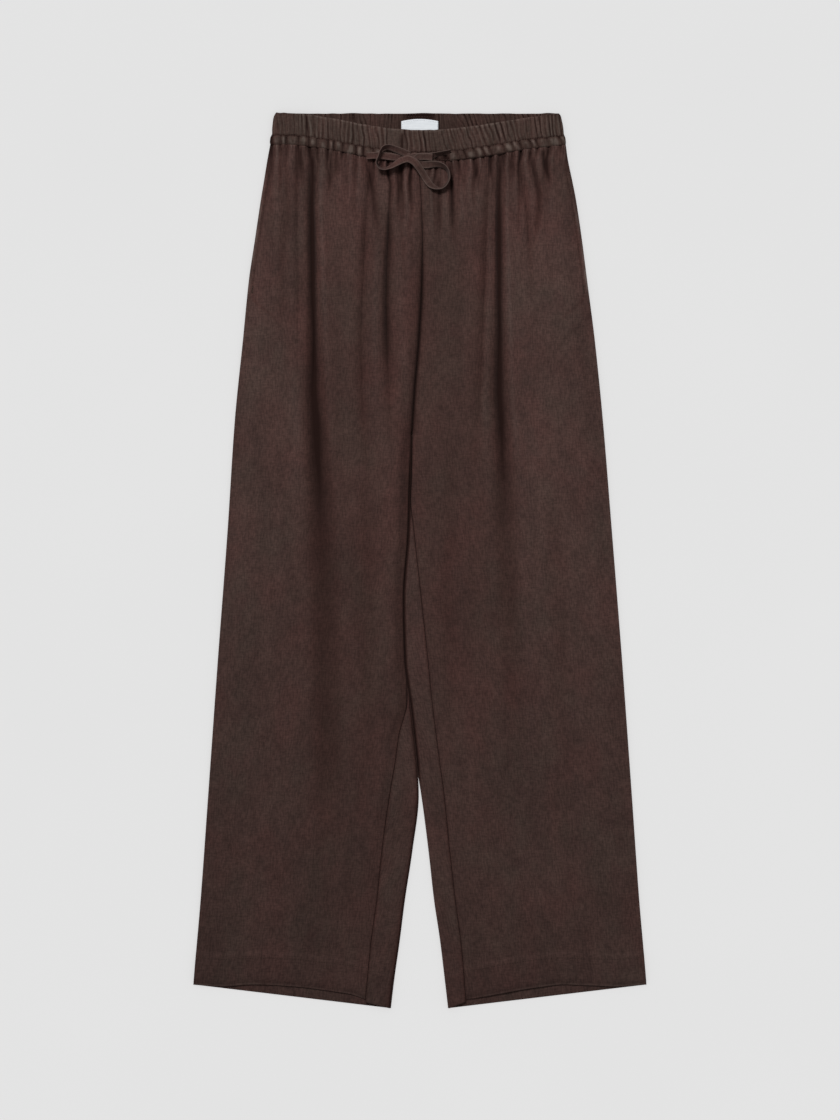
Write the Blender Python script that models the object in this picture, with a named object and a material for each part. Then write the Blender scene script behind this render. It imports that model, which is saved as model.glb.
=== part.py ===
# Women's linen trousers with a drawstring waist, laid out flat with the front up.
# Metres, +Z up, +Y towards the waist, +X towards the wearer's left leg.
# z = 0 is the surface they lie on, and the origin is under the middle of the trousers.
# Sizes and tables are in millimetres. "down" is the distance below the waistband's top edge,
# "across" the distance from the middle, with the wearer's right leg on the minus side.

from math import pi

import bmesh
import bpy
import numpy as np

MM = 0.001

# Driving sizes
LENGTH = 1050.0          # waistband's top edge to the lowest corner of a hem
CLOTH = 1.2              # one layer of linen
HEM_CLOTH = 1.8          # the doubled cloth of a hem
GAP = 0.3                # clearance between pieces that touch
SEAM = GAP / 2           # each piece stops this far from a seam line
HEM_DEPTH = 35.0         # height of a turned-up hem
HEM_AT_SIDE = 1020.0     # the hems slope from here, at the side seams,
HEM_AT_FOLD = LENGTH     # to here, at the inner folds
MEAN_HEM = (HEM_AT_SIDE + HEM_AT_FOLD) / 2
SIDE_AT_HEM = 265.0      # distance of the side seams from the middle, at the hems
FOLD_AT_HEM = 33.5       # distance of the inner folds from the middle, at the hems
CROTCH = 380.0           # where the four leg seams meet
RISE_END = 368.0         # the backs start to fold round the legs just above it

# Waistband
BAND_HEIGHT = 37.0       # whole band: elastic casing above, drawstring tunnel below
CASING_HEIGHT = 25.0     # top edge to the row of stitches between casing and tunnel
BAND_CLOTH = 2.4         # folded linen with the elastic inside
BAND_LIFT = 4.0          # the front band's underside at the middle, over the label
BAND_LIFT_OVER = 60.0    # it comes up to that height over this distance from the side folds
BAND_EDGE = 0.55         # share of the wall left at a top edge
BAND_SIDE = 0.6          # share of the wall left at a side fold
DROOP = 20.5             # the front band's middle hangs this much lower than the back's
DROOP_REACH = {-1: 166.0, 1: 196.0}  # distance from the middle where the droop has run out
CASING_GATHERS = 45
BAND_COLUMNS = 3 * CASING_GATHERS
TUNNEL_PITCH = 5         # columns in one pucker of the tunnel, 27 puckers in all
CASING_RELIEF = 0.9      # height of a gather
TUNNEL_RELIEF = 1.3      # height of a pucker
TUNNEL_PUFF = 0.6        # the tunnel stands this much proud of its stitches
BOW_REACH = {-1: 78.0, 1: 52.0}  # the tunnel lies flatter under the bow, this far from the middle
BOW_MARGIN = 12.0        # and rises again over this width
UNDER_BOW = 0.3          # share of the puckers' height left there
BACK_BAND_OFFSETS = (0, 1.5, 6, 13, 21, BAND_HEIGHT)  # rows of the back band, below its top edge
SHOWN_MARGIN = 4.0       # the back band's gathers fade over this near the front band and the label

# Front panels
FRONT_COLUMNS = 42       # three to a gather, 14 gathers in each half
GATHER_RELIEF = 0.8
GATHER_FADE = 18.0       # the gathers run out over about this length below the band
SIDE_ROUND = 30.0        # the cloth comes down to the side seam over this width
CENTRE_ROUND = 15.0      # and down to the centre seam and the inseams over this
CENTRE_DIP = 0.35        # share of that dip left at the centre seam near the band,
CENTRE_DIP_FROM = 90.0   # which deepens from here
CENTRE_DIP_OVER = 150.0  # over this length
BAND_BLEND = 16.0        # the front comes up to the band's height over about this length
FOLD_START = 14.0        # a fold deepens over this length,
FOLD_WIDENS = 2.0        # and is wider by this share where it ends

# The leg on the minus side lies a little over the other one below the crotch
OVERLAP_LIFT = 3.0
LIFT_BY_DISTANCE = ((0, 11, 17, 24, 34), (1.0, 1.0, 0.7, 0.3, 0.0))

# Pocket bags, flat between front and back
BAG_CLOTH = 1.0
BAG_ROOM = 1.4           # the front stands this much higher over a bag
BAG_MARGIN = 9.0         # width over which the front comes down beside a bag
BAG_SLACK = 20.0         # and it stays up this far below the bag's slanting end
BAG_AT_SEAM = 8.0        # a bag edge nearer than this lies in the side seam,
SEAM_STEP = 3.5          # where the front comes down over this width
BAG_TOP_MARGIN = 12.0
BAG_END_MARGIN = 14.0
BAG_COLUMNS = 6

# Label inside the back band, and drawstring
LABEL_WIDTH = 44.0
LABEL_HEIGHT = 26.0
LABEL_CLOTH = 0.8
LABEL_TOP = 8.0          # below the band's top edge
TAPE_WIDTH = 8.0
TAPE_CLOTH = 1.0


def table(columns, *rows):
    """A short table with named columns."""
    return dict(zip(columns.split(), np.array(rows, float).T))


SIDES = table(
    "down right left",
    (36, -174.5, 170.5),
    (55, -178, 173),
    (79, -182, 178),
    (102, -186, 182.5),
    (149, -193, 189.5),
    (196, -200, 195.5),
    (266, -207, 204.5),
    (360, -216.5, 214),
    (489, -225, 224),
    (642, -236.5, 236.5),
    (800, -247.5, 248),
    (923, -256.5, 256.5),
    (HEM_AT_SIDE, -SIDE_AT_HEM, SIDE_AT_HEM),
    (HEM_AT_FOLD, -267, 267),
)

# Centre-front seam, which the hidden centre-back seam follows
CENTRE = table(
    "down across",
    (36, -3),
    (102, 2),
    (150, 3.5),
    (196, 3),
    (266, -0.5),
    (325, -5.5),
    (CROTCH, -9),
)

# Below the crotch: inner fold of each leg and the inseam, which lies on the front of it.
# The left leg's fold is hidden under the right leg's down to 795.
INNER = table(
    "down right_seam right_fold left_fold left_seam lift",
    (CROTCH, -12.5, -9.6, -8.4, -5.5, 0),
    (430, -15, -11.9, -11.3, -7.4, 1),
    (489, -17, -13.3, -21.5, -6.5, 1),
    (571, -22.5, -18.8, -27.5, 2.5, 1),
    (642, -21.3, -17, -24, 10, 1),
    (689, -19, -10.8, -17, 14.7, 1),
    (730, -24, -6, -10, 19.7, 1),
    (765, -29, -2.4, -4, 24.4, 1),
    (800, -35, -0.8, 2, 29, 1),
    (865, -44, -8.2, 10.5, 35.5, 0),
    (923, -50, -17, 17, 42, 0),
    (970, -56.5, -23, 24, 48.5, 0),
    (HEM_AT_SIDE, -61.5, -30, 30, 53, 0),
    (HEM_AT_FOLD, -64, -FOLD_AT_HEM, FOLD_AT_HEM, 55, 0),
)

# Columns of points across a back, from the side seam to the inseam: distance from the inner
# fold, share of the rest of the width added to it, angle turned round the fold, and share of
# the way from the fold to the inseam on top
BACK_COLUMNS = table(
    "distance share angle along",
    (34, 1.0, 0, 0),
    (34, 0.7, 0, 0),
    (34, 0.4, 0, 0),
    (34, 0.2, 0, 0),
    (34, 0.0, 0, 0),
    (24, 0.0, 0, 0),
    (17, 0.0, 0, 0),
    (11, 0.0, 0, 0),
    (4, 0.0, 0, 0),
    (0.75, 0.0, 0, 0),
    (0.70, 0.0, 45, 0),
    (0.65, 0.0, 90, 0),
    (0.60, 0.0, 135, 0),
    (0.55, 0.0, 180, 0),
    (0.50, 0.0, 180, 0.35),
    (0.45, 0.0, 180, 0.7),
    (0.40, 0.0, 180, 1.0),
)

# How far the front's hem stands above the back's, from side seam (0) to inseam (1)
HEM_RISE = table(
    "share right left",
    (0.0, 0, 0),
    (0.12, 1, 1),
    (0.35, 8.5, 8),
    (0.5, 11, 12),
    (0.65, 12, 11.5),
    (0.9, 11, 8.5),
    (1.0, 7, 7.5),
)

# Height of the front panels' air, from the waist seam down
PUFF = table(
    "down height",
    (45, 2.5),
    (80, 3.4),
    (110, 4.6),
    (160, 6.2),
    (300, 7.0),
    (450, 6.2),
    (650, 4.2),
    (850, 2.6),
    (960, 1.5),
    (HEM_AT_SIDE, 0.8),
    (HEM_AT_FOLD, 0.7),
)

FOLD_COLUMNS = "start finish across_start across_middle across_finish half_width depth"
RIGHT_FOLDS = table(
    FOLD_COLUMNS,
    (44, 800, -127, -118, -100, 5, 7.0),
    (52, 360, -146, -144, -148, 6, 3.4),
    (44, 130, -100, -103, -105, 5, 2.2),
    (58, 440, -57, -66, -61, 7, 2.6),
    (56, 360, -36, -41, -39, 5.5, 5.0),
    (50, 95, -27.5, -26, -25, 4.5, 1.2),
    (330, 700, -100, -96, -88, 13, 1.6),
)
LEFT_FOLDS = table(
    FOLD_COLUMNS,
    (44, 600, 91, 93, 94, 5, 6.6),
    (52, 380, 78, 76, 71, 6, 2.8),
    (50, 175, 35.5, 37, 41, 4.5, 2.8),
    (70, 180, 25, 27, 29, 5, 1.6),
    (48, 225, 130, 134, 127, 6, 2.2),
    (44, 112, 146, 146, 147, 4.5, 1.4),
    (48, 92, 64, 66, 68, 4.5, 1.3),
)

# Pocket bag: distances of its two edges from the side seam
BAG = table(
    "down near far",
    (60, 5, 112),
    (110, 5, 132),
    (205, 5, 148),
    (217, 7, 149),
    (240, 34, 148),
    (270, 62, 142),
    (300, 95, 125),
)

# Rows across the front band: shares of the wall, of the gathers and of the puckers
BAND_ROWS = table(
    "offset body casing tunnel",
    (0, 1.2, 0, 0),
    (1.5, 2.2, 0.3, 0),
    (7, BAND_CLOTH, 1, 0),
    (18, BAND_CLOTH, 1, 0),
    (23, BAND_CLOTH, 0.6, 0),
    (CASING_HEIGHT, 2.2, 0, 0),
    (27, BAND_CLOTH, 0, 0.7),
    (31, BAND_CLOTH, 0, 1),
    (35, BAND_CLOTH, 0, 0.7),
    (BAND_HEIGHT, 2.2, 0, 0),
)

# Side folds of the band, which the tunnel makes a little wider
BAND_ENDS = table(
    "offset right left",
    (0, -167.5, 163),
    (3, -169.5, 165),
    (CASING_HEIGHT, -171.5, 168),
    (31, -174.3, 170.8),
    (BAND_HEIGHT, -174, 170.5),
)

# Bow. The left loop, the strand over the knot and the right loop are one run of tape.
TAPE_COLUMNS = "across down height tilt"
LOOPS = table(
    TAPE_COLUMNS,
    (-19.8, 46.6, 10.6, 8),
    (-28, 43.3, 10.8, 14),
    (-36, 40.8, 11.2, 30),
    (-41, 40.8, 12, 60),
    (-45.2, 45.2, 12.8, 75),
    (-48, 53, 13.2, 75),
    (-50, 59.5, 12.4, 75),
    (-48, 64.5, 11.4, 75),
    (-41.5, 66.5, 11, 70),
    (-34.5, 64.5, 11, 60),
    (-27.5, 60.5, 11.6, 40),
    (-20.5, 56.5, 12.8, 15),
    (-13.5, 55, 13, 5),
    (-6.5, 58, 13, 0),
    (-1.2, 64, 12, 0),
    (3.5, 71, 9.6, 0),
    (8.2, 78.5, 8, 5),
    (13, 85, 8.9, 30),
    (19.3, 88.7, 10.4, 60),
    (25.8, 88.9, 10.9, 75),
    (31.6, 84.5, 10.9, 75),
    (34.8, 76.3, 10.9, 75),
    (33.4, 68.6, 10.9, 70),
    (28.7, 63.4, 10.9, 55),
    (21.7, 60.8, 10.4, 35),
    (13.5, 60.8, 9.2, 12),
    (7.2, 61.4, 8.8, 4),
)
END_LEFT = table(
    TAPE_COLUMNS,
    (-62, 50.6, 8.2, 0),
    (-43, 50.8, 8.2, 0),
    (-30, 52.4, 8.2, 0),
    (-22.8, 53, 8.2, 0),
)
END_RIGHT = table(
    TAPE_COLUMNS,
    (2.2, 52, 10.6, 0),
    (8, 52.2, 10.6, 0),
    (15.3, 52.6, 10.5, 0),
)
EXIT = table(
    TAPE_COLUMNS,
    (35, 47.5, 8.2, 0),
    (24, 48.7, 8.2, 0),
    (12, 51, 8.2, 0),
    (2.7, 51.6, 8.2, 0),
)

# A rounded block with blunt ends. "squareness" is 1 for an oval outline and nearer 0 for a box.
KNOT = {
    "across": -8.8,
    "down": 54.5,
    "height": 9.4,
    "half_length": 11.0,
    "half_width": 5.0,
    "half_height": 1.7,
    "turn": 36.0,
    "sides": 16,
    "top_share": 0.72,
    "squareness": 0.6,
}

# Rows of points on the panels: distances below the waist seam, then plain "down" values,
# then distances above the hem
NEAR_WAIST = (0, 5, 12, 24, 44)
DOWN_THE_LEG = (130, 180, 215, 250, 300, RISE_END, CROTCH, 430, 489, 571, 642, 689, 765, 800, 865, 935)
NEAR_HEM = (HEM_DEPTH + 2, HEM_DEPTH, 0)
WAIST_SEAM = 46.0        # mean place of the waist seam
WAIST_FADE = 200.0       # the rows lose the waist seam's curve over this length
HEM_BEND_FROM = 850.0    # and take the hem's slope from here
HEM_BEND_OVER = 165.0    # over this length


def smooth(known, values, at):
    """Cubic curve through a table's rows, with no overshoot between them."""
    at = np.asarray(at, float)
    step = np.diff(known)
    slope = np.diff(values) / step
    product = slope[:-1] * slope[1:]
    total = slope[:-1] + slope[1:]
    tangent = np.concatenate([slope[:1], np.zeros(len(product)), slope[-1:]])
    same = product > 0
    tangent[1:-1][same] = 2 * product[same] / total[same]
    i = np.clip(np.searchsorted(known, at) - 1, 0, len(step) - 1)
    t = np.clip((at - known[i]) / step[i], 0, 1)
    ahead = t * t * (3 - 2 * t)
    leave = t * (1 - t) ** 2 * step[i] * tangent[i]
    arrive = t * t * (t - 1) * step[i] * tangent[i + 1]
    return values[i] * (1 - ahead) + values[i + 1] * ahead + leave + arrive


def ease(share):
    """0 to 1 with level ends."""
    share = np.clip(share, 0, 1)
    return share * share * (3 - 2 * share)


def leg_name(side):
    return "right" if side < 0 else "left"


def droop(across):
    """How much lower a line of the front waistband lies than the back's."""
    reach = np.where(across < 0, DROOP_REACH[-1], DROOP_REACH[1])
    return DROOP * np.cos(pi / 2 * np.clip(np.abs(across) / reach, 0, 1)) ** 2


def side_line(side, down):
    return smooth(SIDES["down"], SIDES[leg_name(side)], down)


def inner_line(kind, side, down):
    """Fold or inseam of one leg. Above the crotch both are the centre seam."""
    above = smooth(CENTRE["down"], CENTRE["across"], down)
    below = smooth(INNER["down"], INNER[leg_name(side) + "_" + kind], down)
    start = ease((np.asarray(down) - RISE_END) / (CROTCH - RISE_END))
    first = INNER[leg_name(side) + "_" + kind][0]
    return np.where(down < CROTCH, above + (first - above) * start, below)


def hem_line(across):
    """The back's hem, straight from side seam to inner fold."""
    share = (np.abs(across) - FOLD_AT_HEM) / (SIDE_AT_HEM - FOLD_AT_HEM)
    return HEM_AT_FOLD + (HEM_AT_SIDE - HEM_AT_FOLD) * share


def hem_wall(above_hem):
    """Thickness of a panel, by the distance above its hem."""
    return CLOTH + (HEM_CLOTH - CLOTH) * ease((HEM_DEPTH + 2 - above_hem) / 2)


def leg_lift(side, down, from_fold):
    """Height that the lower leg of the overlap gives the upper one."""
    if side > 0:
        return np.zeros(np.broadcast(down, from_fold).shape)
    across_share = np.interp(from_fold, *LIFT_BY_DISTANCE)
    return OVERLAP_LIFT * across_share * smooth(INNER["down"], INNER["lift"], down)


def row_places(waist, hem):
    """Down values of every row of points. Only the rows near an end follow that end's curve."""
    rows = []
    for below in NEAR_WAIST:
        rows.append(waist + below)
    for down in DOWN_THE_LEG:
        to_waist = 1 - ease((down - NEAR_WAIST[-1] - WAIST_SEAM) / WAIST_FADE)
        to_hem = ease((down - HEM_BEND_FROM) / HEM_BEND_OVER)
        rows.append(down + (waist - WAIST_SEAM) * to_waist + (hem - MEAN_HEM) * to_hem)
    for above in NEAR_HEM:
        rows.append(hem - above)
    return np.array(rows)


def crowded(count, centre, pull=1.6, width=0.05):
    """Shares from 0 to 1, closer together near one place."""
    fine = np.linspace(0, 1, 2001)
    density = 1 + pull * np.exp(-((fine - centre) / width) ** 2)
    reached = np.concatenate([[0], np.cumsum((density[1:] + density[:-1]) / 2)])
    return np.interp(np.linspace(0, reached[-1], count + 1), reached, fine)


def uneven(index, spread=0.3):
    """A different height for each gather, the same every time."""
    return 1 - spread + spread * np.sin(2.4 * index + np.sin(1.7 * index))


def fold_depth(folds, across, down):
    """Depth of all the folds of a front at each point. A fold widens and fades as it runs down."""
    total = np.zeros_like(across)
    for i in range(len(folds["start"])):
        start = folds["start"][i]
        finish = folds["finish"][i]
        run = (down - start) / (finish - start)
        line = smooth(
            np.array([start, (start + finish) / 2, finish]),
            np.array([folds[f"across_{place}"][i] for place in ("start", "middle", "finish")]),
            down,
        )
        half = folds["half_width"][i] * (1 + FOLD_WIDENS * np.clip(run, 0, 1))
        fade = np.where(run < 0, 0, 1 - ease(run) ** 1.5) * ease(1 + (down - start) / FOLD_START)
        total += folds["depth"][i] * fade * np.exp(-((across - line) / half) ** 2)
    return total


def over_bag(side, across, down):
    """1 over a pocket bag, 0 clear of it."""
    from_side = np.abs(across - side_line(side, down))
    near = smooth(BAG["down"], BAG["near"], down - BAG_SLACK)
    far = smooth(BAG["down"], BAG["far"], down - BAG_SLACK)
    inward = ease((from_side - near + BAG_MARGIN) / BAG_MARGIN)
    inward = np.where(near < BAG_AT_SEAM, ease(from_side / SEAM_STEP), inward)
    outward = ease((far + BAG_MARGIN - from_side) / BAG_MARGIN)
    below_top = ease(1 + (down - BAG["down"][0]) / BAG_TOP_MARGIN)
    above_end = ease(1 + (BAG["down"][-1] - down) / BAG_END_MARGIN)
    return inward * outward * below_top * above_end


def clear_scene():
    for obj in list(bpy.data.objects):
        bpy.data.objects.remove(obj)


def material(name, colour, roughness):
    """Cloth: one colour, no metal."""
    made = bpy.data.materials.new(name)
    made.use_nodes = True
    shader = made.node_tree.nodes["Principled BSDF"]
    shader.inputs["Base Color"].default_value = (*colour, 1)
    shader.inputs["Roughness"].default_value = roughness
    shader.inputs["Metallic"].default_value = 0
    return made


def mesh_object(name, points, faces, finish):
    """A named object from points in millimetres (across, down, height), faces turned outwards."""
    placed = np.array(points, float)
    placed[:, 1] = LENGTH / 2 - placed[:, 1]
    data = bpy.data.meshes.new(name)
    data.from_pydata((placed * MM).tolist(), [], faces)
    sheet = bmesh.new()
    sheet.from_mesh(data)
    bmesh.ops.recalc_face_normals(sheet, faces=sheet.faces)
    sheet.to_mesh(data)
    sheet.free()
    obj = bpy.data.objects.new(name, data)
    obj.data.materials.append(finish)
    bpy.context.scene.collection.objects.link(obj)
    return obj


def wall(name, outer, inner, finish):
    """Closed wall between two grids of points. The inner one may have only its two end rows."""
    rows, columns = outer.shape[:2]
    inner_rows = inner.shape[0]
    points = np.concatenate([outer.reshape(-1, 3), inner.reshape(-1, 3)])
    base = rows * columns
    faces = []
    for r in range(rows - 1):
        for c in range(columns - 1):
            a = r * columns + c
            faces.append((a, a + 1, a + columns + 1, a + columns))
    for r in range(inner_rows - 1):
        for c in range(columns - 1):
            a = base + r * columns + c
            faces.append((a, a + columns, a + columns + 1, a + 1))
    for c in range(columns - 1):
        last = (rows - 1) * columns + c
        inner_last = base + (inner_rows - 1) * columns + c
        faces.append((c, base + c, base + c + 1, c + 1))
        faces.append((last, last + 1, inner_last + 1, inner_last))
    for c in (0, columns - 1):
        outside = [r * columns + c for r in range(rows)]
        inside = [base + r * columns + c for r in range(inner_rows)]
        if rows == inner_rows:
            for r in range(rows - 1):
                faces.append((outside[r], outside[r + 1], inside[r + 1], inside[r]))
        else:
            faces.append(tuple(outside + inside[::-1]))
    return mesh_object(name, points, faces, finish)


def stacked(across, down, height):
    return np.stack(np.broadcast_arrays(across, down, height), axis=-1)


def band_base(across):
    """Underside of the front waistband: low at the side folds, higher over the label."""
    from_side = np.minimum(across - SIDES["right"][0], SIDES["left"][0] - across)
    at_side = BAND_CLOTH + GAP
    return at_side + (BAND_LIFT - at_side) * ease(from_side / BAND_LIFT_OVER)


def between_seams(side, down, share):
    """Place across a front: share 0 is its side seam, 1 its centre seam or inseam."""
    outside = side_line(side, down)
    inside = inner_line("seam", side, down) + side * SEAM
    return outside + (inside - outside) * share


def front_grid(side):
    """(across, down) of a front panel's points, in columns from side seam to inner seam."""
    folds = RIGHT_FOLDS if side < 0 else LEFT_FOLDS
    main_fold = folds["across_middle"][0]
    fold_middle = (folds["start"][0] + folds["finish"][0]) / 2
    share = crowded(FRONT_COLUMNS, 1 - main_fold / side_line(side, fold_middle))
    waist = np.full(len(share), WAIST_SEAM)
    for step in range(4):
        waist = BAND_HEIGHT + GAP + droop(between_seams(side, waist, share))
    hem_across = between_seams(side, np.full(len(share), MEAN_HEM), share)
    rise = smooth(HEM_RISE["share"], HEM_RISE[leg_name(side)], share)
    down = row_places(waist, hem_line(hem_across) - rise)
    return between_seams(side, down, share), down


def front_panel(side, finish):
    """Front of one leg, from waist seam to hem and from side seam to centre seam and inseam."""
    across, down = front_grid(side)
    folds = RIGHT_FOLDS if side < 0 else LEFT_FOLDS
    thick = hem_wall(down[-1] - down)
    from_side = np.abs(across - side_line(side, down))
    seam = inner_line("seam", side, down)
    from_seam = np.abs(across - seam)
    from_fold = np.abs(across - inner_line("fold", side, down))

    dip = CENTRE_DIP + (1 - CENTRE_DIP) * ease((down - CENTRE_DIP_FROM) / CENTRE_DIP_OVER)
    rounding = ease(from_side / SIDE_ROUND) * (1 - dip * (1 - ease(from_seam / CENTRE_ROUND)))
    air = smooth(PUFF["down"], PUFF["height"], down) * rounding
    air = np.maximum(air - fold_depth(folds, across, down), 0)

    below_seam = down - down[0]
    at_band = band_base(across) - CLOTH - GAP
    air += (at_band - air) * np.exp(-(below_seam / BAND_BLEND) ** 2)
    column = np.arange(FRONT_COLUMNS + 1)
    gather = np.cos(2 * pi * column / 3) * uneven(column // 3)
    gather[[0, -1]] = 0
    air += GATHER_RELIEF * gather * np.exp(-below_seam / GATHER_FADE)

    floor = thick + GAP + BAG_ROOM * over_bag(side, across, down)
    under = floor + np.maximum(air, 0) + leg_lift(side, down, from_fold)
    middle = under + thick / 2
    slope = np.gradient(middle, axis=1) / np.gradient(across, axis=1)
    slope[:, [0, -1]] = 0
    tilt = np.sqrt(1 + slope ** 2)
    step_across = -slope / tilt * thick / 2
    step_up = thick / 2 / tilt
    outer = stacked(across + step_across, down, middle + step_up)
    inner = stacked(across - step_across, down, middle - step_up)
    return wall("front_" + leg_name(side), outer, inner, finish)


def back_panel(side, finish):
    """Back of one leg: flat on the floor, round the inner fold and on to the inseam at the front.

    Above the crotch there is no fold, and the columns of the half turn and of the strip on top
    lie close together beside the centre seam.
    """
    distance = BACK_COLUMNS["distance"]
    share = BACK_COLUMNS["share"]
    angle = np.radians(BACK_COLUMNS["angle"])
    along = BACK_COLUMNS["along"]

    place_at_hem = distance + share * (SIDE_AT_HEM - FOLD_AT_HEM - distance)
    hem = hem_line(FOLD_AT_HEM + place_at_hem) - HEM_RISE[leg_name(side)][-1] * along
    down = row_places(np.full(len(distance), BAND_HEIGHT + GAP), hem)

    thick = hem_wall(down[-1] - down)
    fold = inner_line("fold", side, down)
    seam = inner_line("seam", side, down) - side * SEAM
    flat = distance + share * (np.abs(side_line(side, down) - fold) - distance)
    folded = ease((down - RISE_END) / (CROTCH - RISE_END)) * (distance < 1)
    radius = thick + GAP / 2
    on_top = (np.abs(seam - fold) - radius) * along
    lift = leg_lift(side, down, flat)

    curl = radius - radius * np.sin(angle) + on_top
    outer_across = fold + side * (flat + (curl - flat) * folded)
    outer_height = radius * (1 - np.cos(angle)) * folded + lift
    curl = radius - GAP / 2 * np.sin(angle) + on_top
    inner_across = fold + side * (flat + (curl - flat) * folded)
    inner_height = thick + (radius - GAP / 2 * np.cos(angle) - thick) * folded + lift
    outer = stacked(outer_across, down, outer_height)
    inner = stacked(inner_across, down, inner_height)
    return wall("back_" + leg_name(side), outer, inner, finish)


def waistband_front(finish):
    """Front of the waistband: gathered casing, a row of stitches, puckered tunnel."""
    column = np.arange(BAND_COLUMNS + 1)
    share = column / BAND_COLUMNS
    offset = BAND_ROWS["offset"][:, None]
    right_end = smooth(BAND_ENDS["offset"], BAND_ENDS["right"], offset)
    left_end = smooth(BAND_ENDS["offset"], BAND_ENDS["left"], offset)
    across = right_end + (left_end - right_end) * share
    down = offset + droop(across)
    gather = (0.5 + 0.5 * np.cos(2 * pi * column / 3)) * uneven(column // 3, 0.2)
    pucker = (0.5 + 0.5 * np.cos(2 * pi * column / TUNNEL_PITCH)) * uneven(column // TUNNEL_PITCH, 0.2)
    reach = np.where(across < 0, BOW_REACH[-1], BOW_REACH[1])
    under_bow = UNDER_BOW + (1 - UNDER_BOW) * ease(1 + (np.abs(across) - reach) / BOW_MARGIN)
    relief = BAND_ROWS["casing"][:, None] * CASING_RELIEF * gather
    relief = relief + BAND_ROWS["tunnel"][:, None] * (TUNNEL_PUFF + TUNNEL_RELIEF * pucker * under_bow)
    relief[:, [0, -1]] = 0
    body = np.repeat(BAND_ROWS["body"][:, None], len(column), axis=1)
    body[:, [0, -1]] *= BAND_SIDE
    outer = stacked(across, down, band_base(across) + body + relief)
    ends = [0, -1]
    inner = stacked(across[ends], down[ends], band_base(across[ends]))
    return wall("waistband_front", outer, inner, finish)


def waistband_back(finish):
    """Back of the waistband, flat on the floor. Its inner face shows above the front's top edge."""
    column = np.arange(2 * CASING_GATHERS + 1)
    share = column / column[-1]
    offset = np.array(BACK_BAND_OFFSETS)[:, None]
    right_end = smooth(BAND_ENDS["offset"], BAND_ENDS["right"], offset)
    left_end = smooth(BAND_ENDS["offset"], BAND_ENDS["left"], offset)
    across = right_end + (left_end - right_end) * share
    down = np.repeat(offset, len(column), axis=1)
    height = np.where(offset == 0, BAND_EDGE, 1.0) * BAND_CLOTH
    gather = (column % 2) * uneven(column // 2)
    shows = ease((droop(across) - offset) / SHOWN_MARGIN - 0.5) * ease(offset / SHOWN_MARGIN)
    by_label = (offset > LABEL_TOP - SHOWN_MARGIN) & (np.abs(across) < LABEL_WIDTH / 2 + SHOWN_MARGIN)
    relief = np.where(by_label, 0, CASING_RELIEF * gather * shows)
    outer = stacked(across, down, height + relief)
    ends = [0, -1]
    inner = stacked(across[ends], down[ends], 0.0)
    return wall("waistband_back", outer, inner, finish)


def label(finish):
    """Bare woven label on the inner face of the back band, its lower part under the front band."""
    across = np.array([[-LABEL_WIDTH / 2, LABEL_WIDTH / 2]])
    down = np.array([[LABEL_TOP], [LABEL_TOP + LABEL_HEIGHT]])
    under = BAND_CLOTH + GAP
    inner = stacked(across, down, under)
    outer = stacked(across, down, under + LABEL_CLOTH)
    return wall("label", outer, inner, finish)


def pocket_bag(side, finish):
    """Two thin layers of a pocket bag, flat between the front and the back."""
    down = np.repeat(BAG["down"][:, None], BAG_COLUMNS, axis=1)
    share = np.linspace(0, 1, BAG_COLUMNS)
    inward = BAG["near"][:, None] + (BAG["far"] - BAG["near"])[:, None] * share
    across = side_line(side, down) - side * inward
    under = np.full(down.shape, CLOTH + GAP)
    inner = stacked(across, down, under)
    outer = stacked(across, down, under + BAG_CLOTH)
    return wall("pocket_bag_" + leg_name(side), outer, inner, finish)


def flowing(route, count):
    """Points along a round curve through a route's rows, and the tape's tilt at each."""
    rows = np.stack([route["across"], route["down"], route["height"], route["tilt"]], axis=1)
    steps = np.linalg.norm(np.diff(rows[:, :3], axis=0), axis=1)
    known = np.concatenate([[0], np.cumsum(steps)])
    tangent = np.gradient(rows, known, axis=0)
    at = np.linspace(0, known[-1], count)
    i = np.clip(np.searchsorted(known, at) - 1, 0, len(steps) - 1)
    t = ((at - known[i]) / steps[i])[:, None]
    ahead = t * t * (3 - 2 * t)
    leave = t * (1 - t) ** 2 * steps[i][:, None] * tangent[i]
    arrive = t * t * (t - 1) * steps[i][:, None] * tangent[i + 1]
    return rows[i] * (1 - ahead) + rows[i + 1] * ahead + leave + arrive


def tape(name, route, pitch, finish):
    """Flat drawstring tape along a route. A tilt of 0 lies flat, 90 stands on edge."""
    reach = np.linalg.norm(np.diff(np.stack([route["across"], route["down"]]), axis=1), axis=0).sum()
    path = flowing(route, max(3, round(reach / pitch)))
    tangent = np.gradient(path[:, :3], axis=0)
    tangent /= np.linalg.norm(tangent, axis=1)[:, None]
    level = np.stack([-tangent[:, 1], tangent[:, 0], np.zeros(len(path))], axis=1)
    level /= np.linalg.norm(level, axis=1)[:, None]
    normal = np.cross(tangent, level)
    tilt = np.radians(path[:, 3])[:, None]
    wide = np.cos(tilt) * level + np.sin(tilt) * normal
    thick = np.cos(tilt) * normal - np.sin(tilt) * level
    half_wide = wide * TAPE_WIDTH / 2
    half_thick = thick * TAPE_CLOTH / 2
    outer = np.stack([path[:, :3] - half_wide + half_thick, path[:, :3] + half_wide + half_thick])
    inner = np.stack([path[:, :3] - half_wide - half_thick, path[:, :3] + half_wide - half_thick])
    return wall(name, outer, inner, finish)


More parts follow.
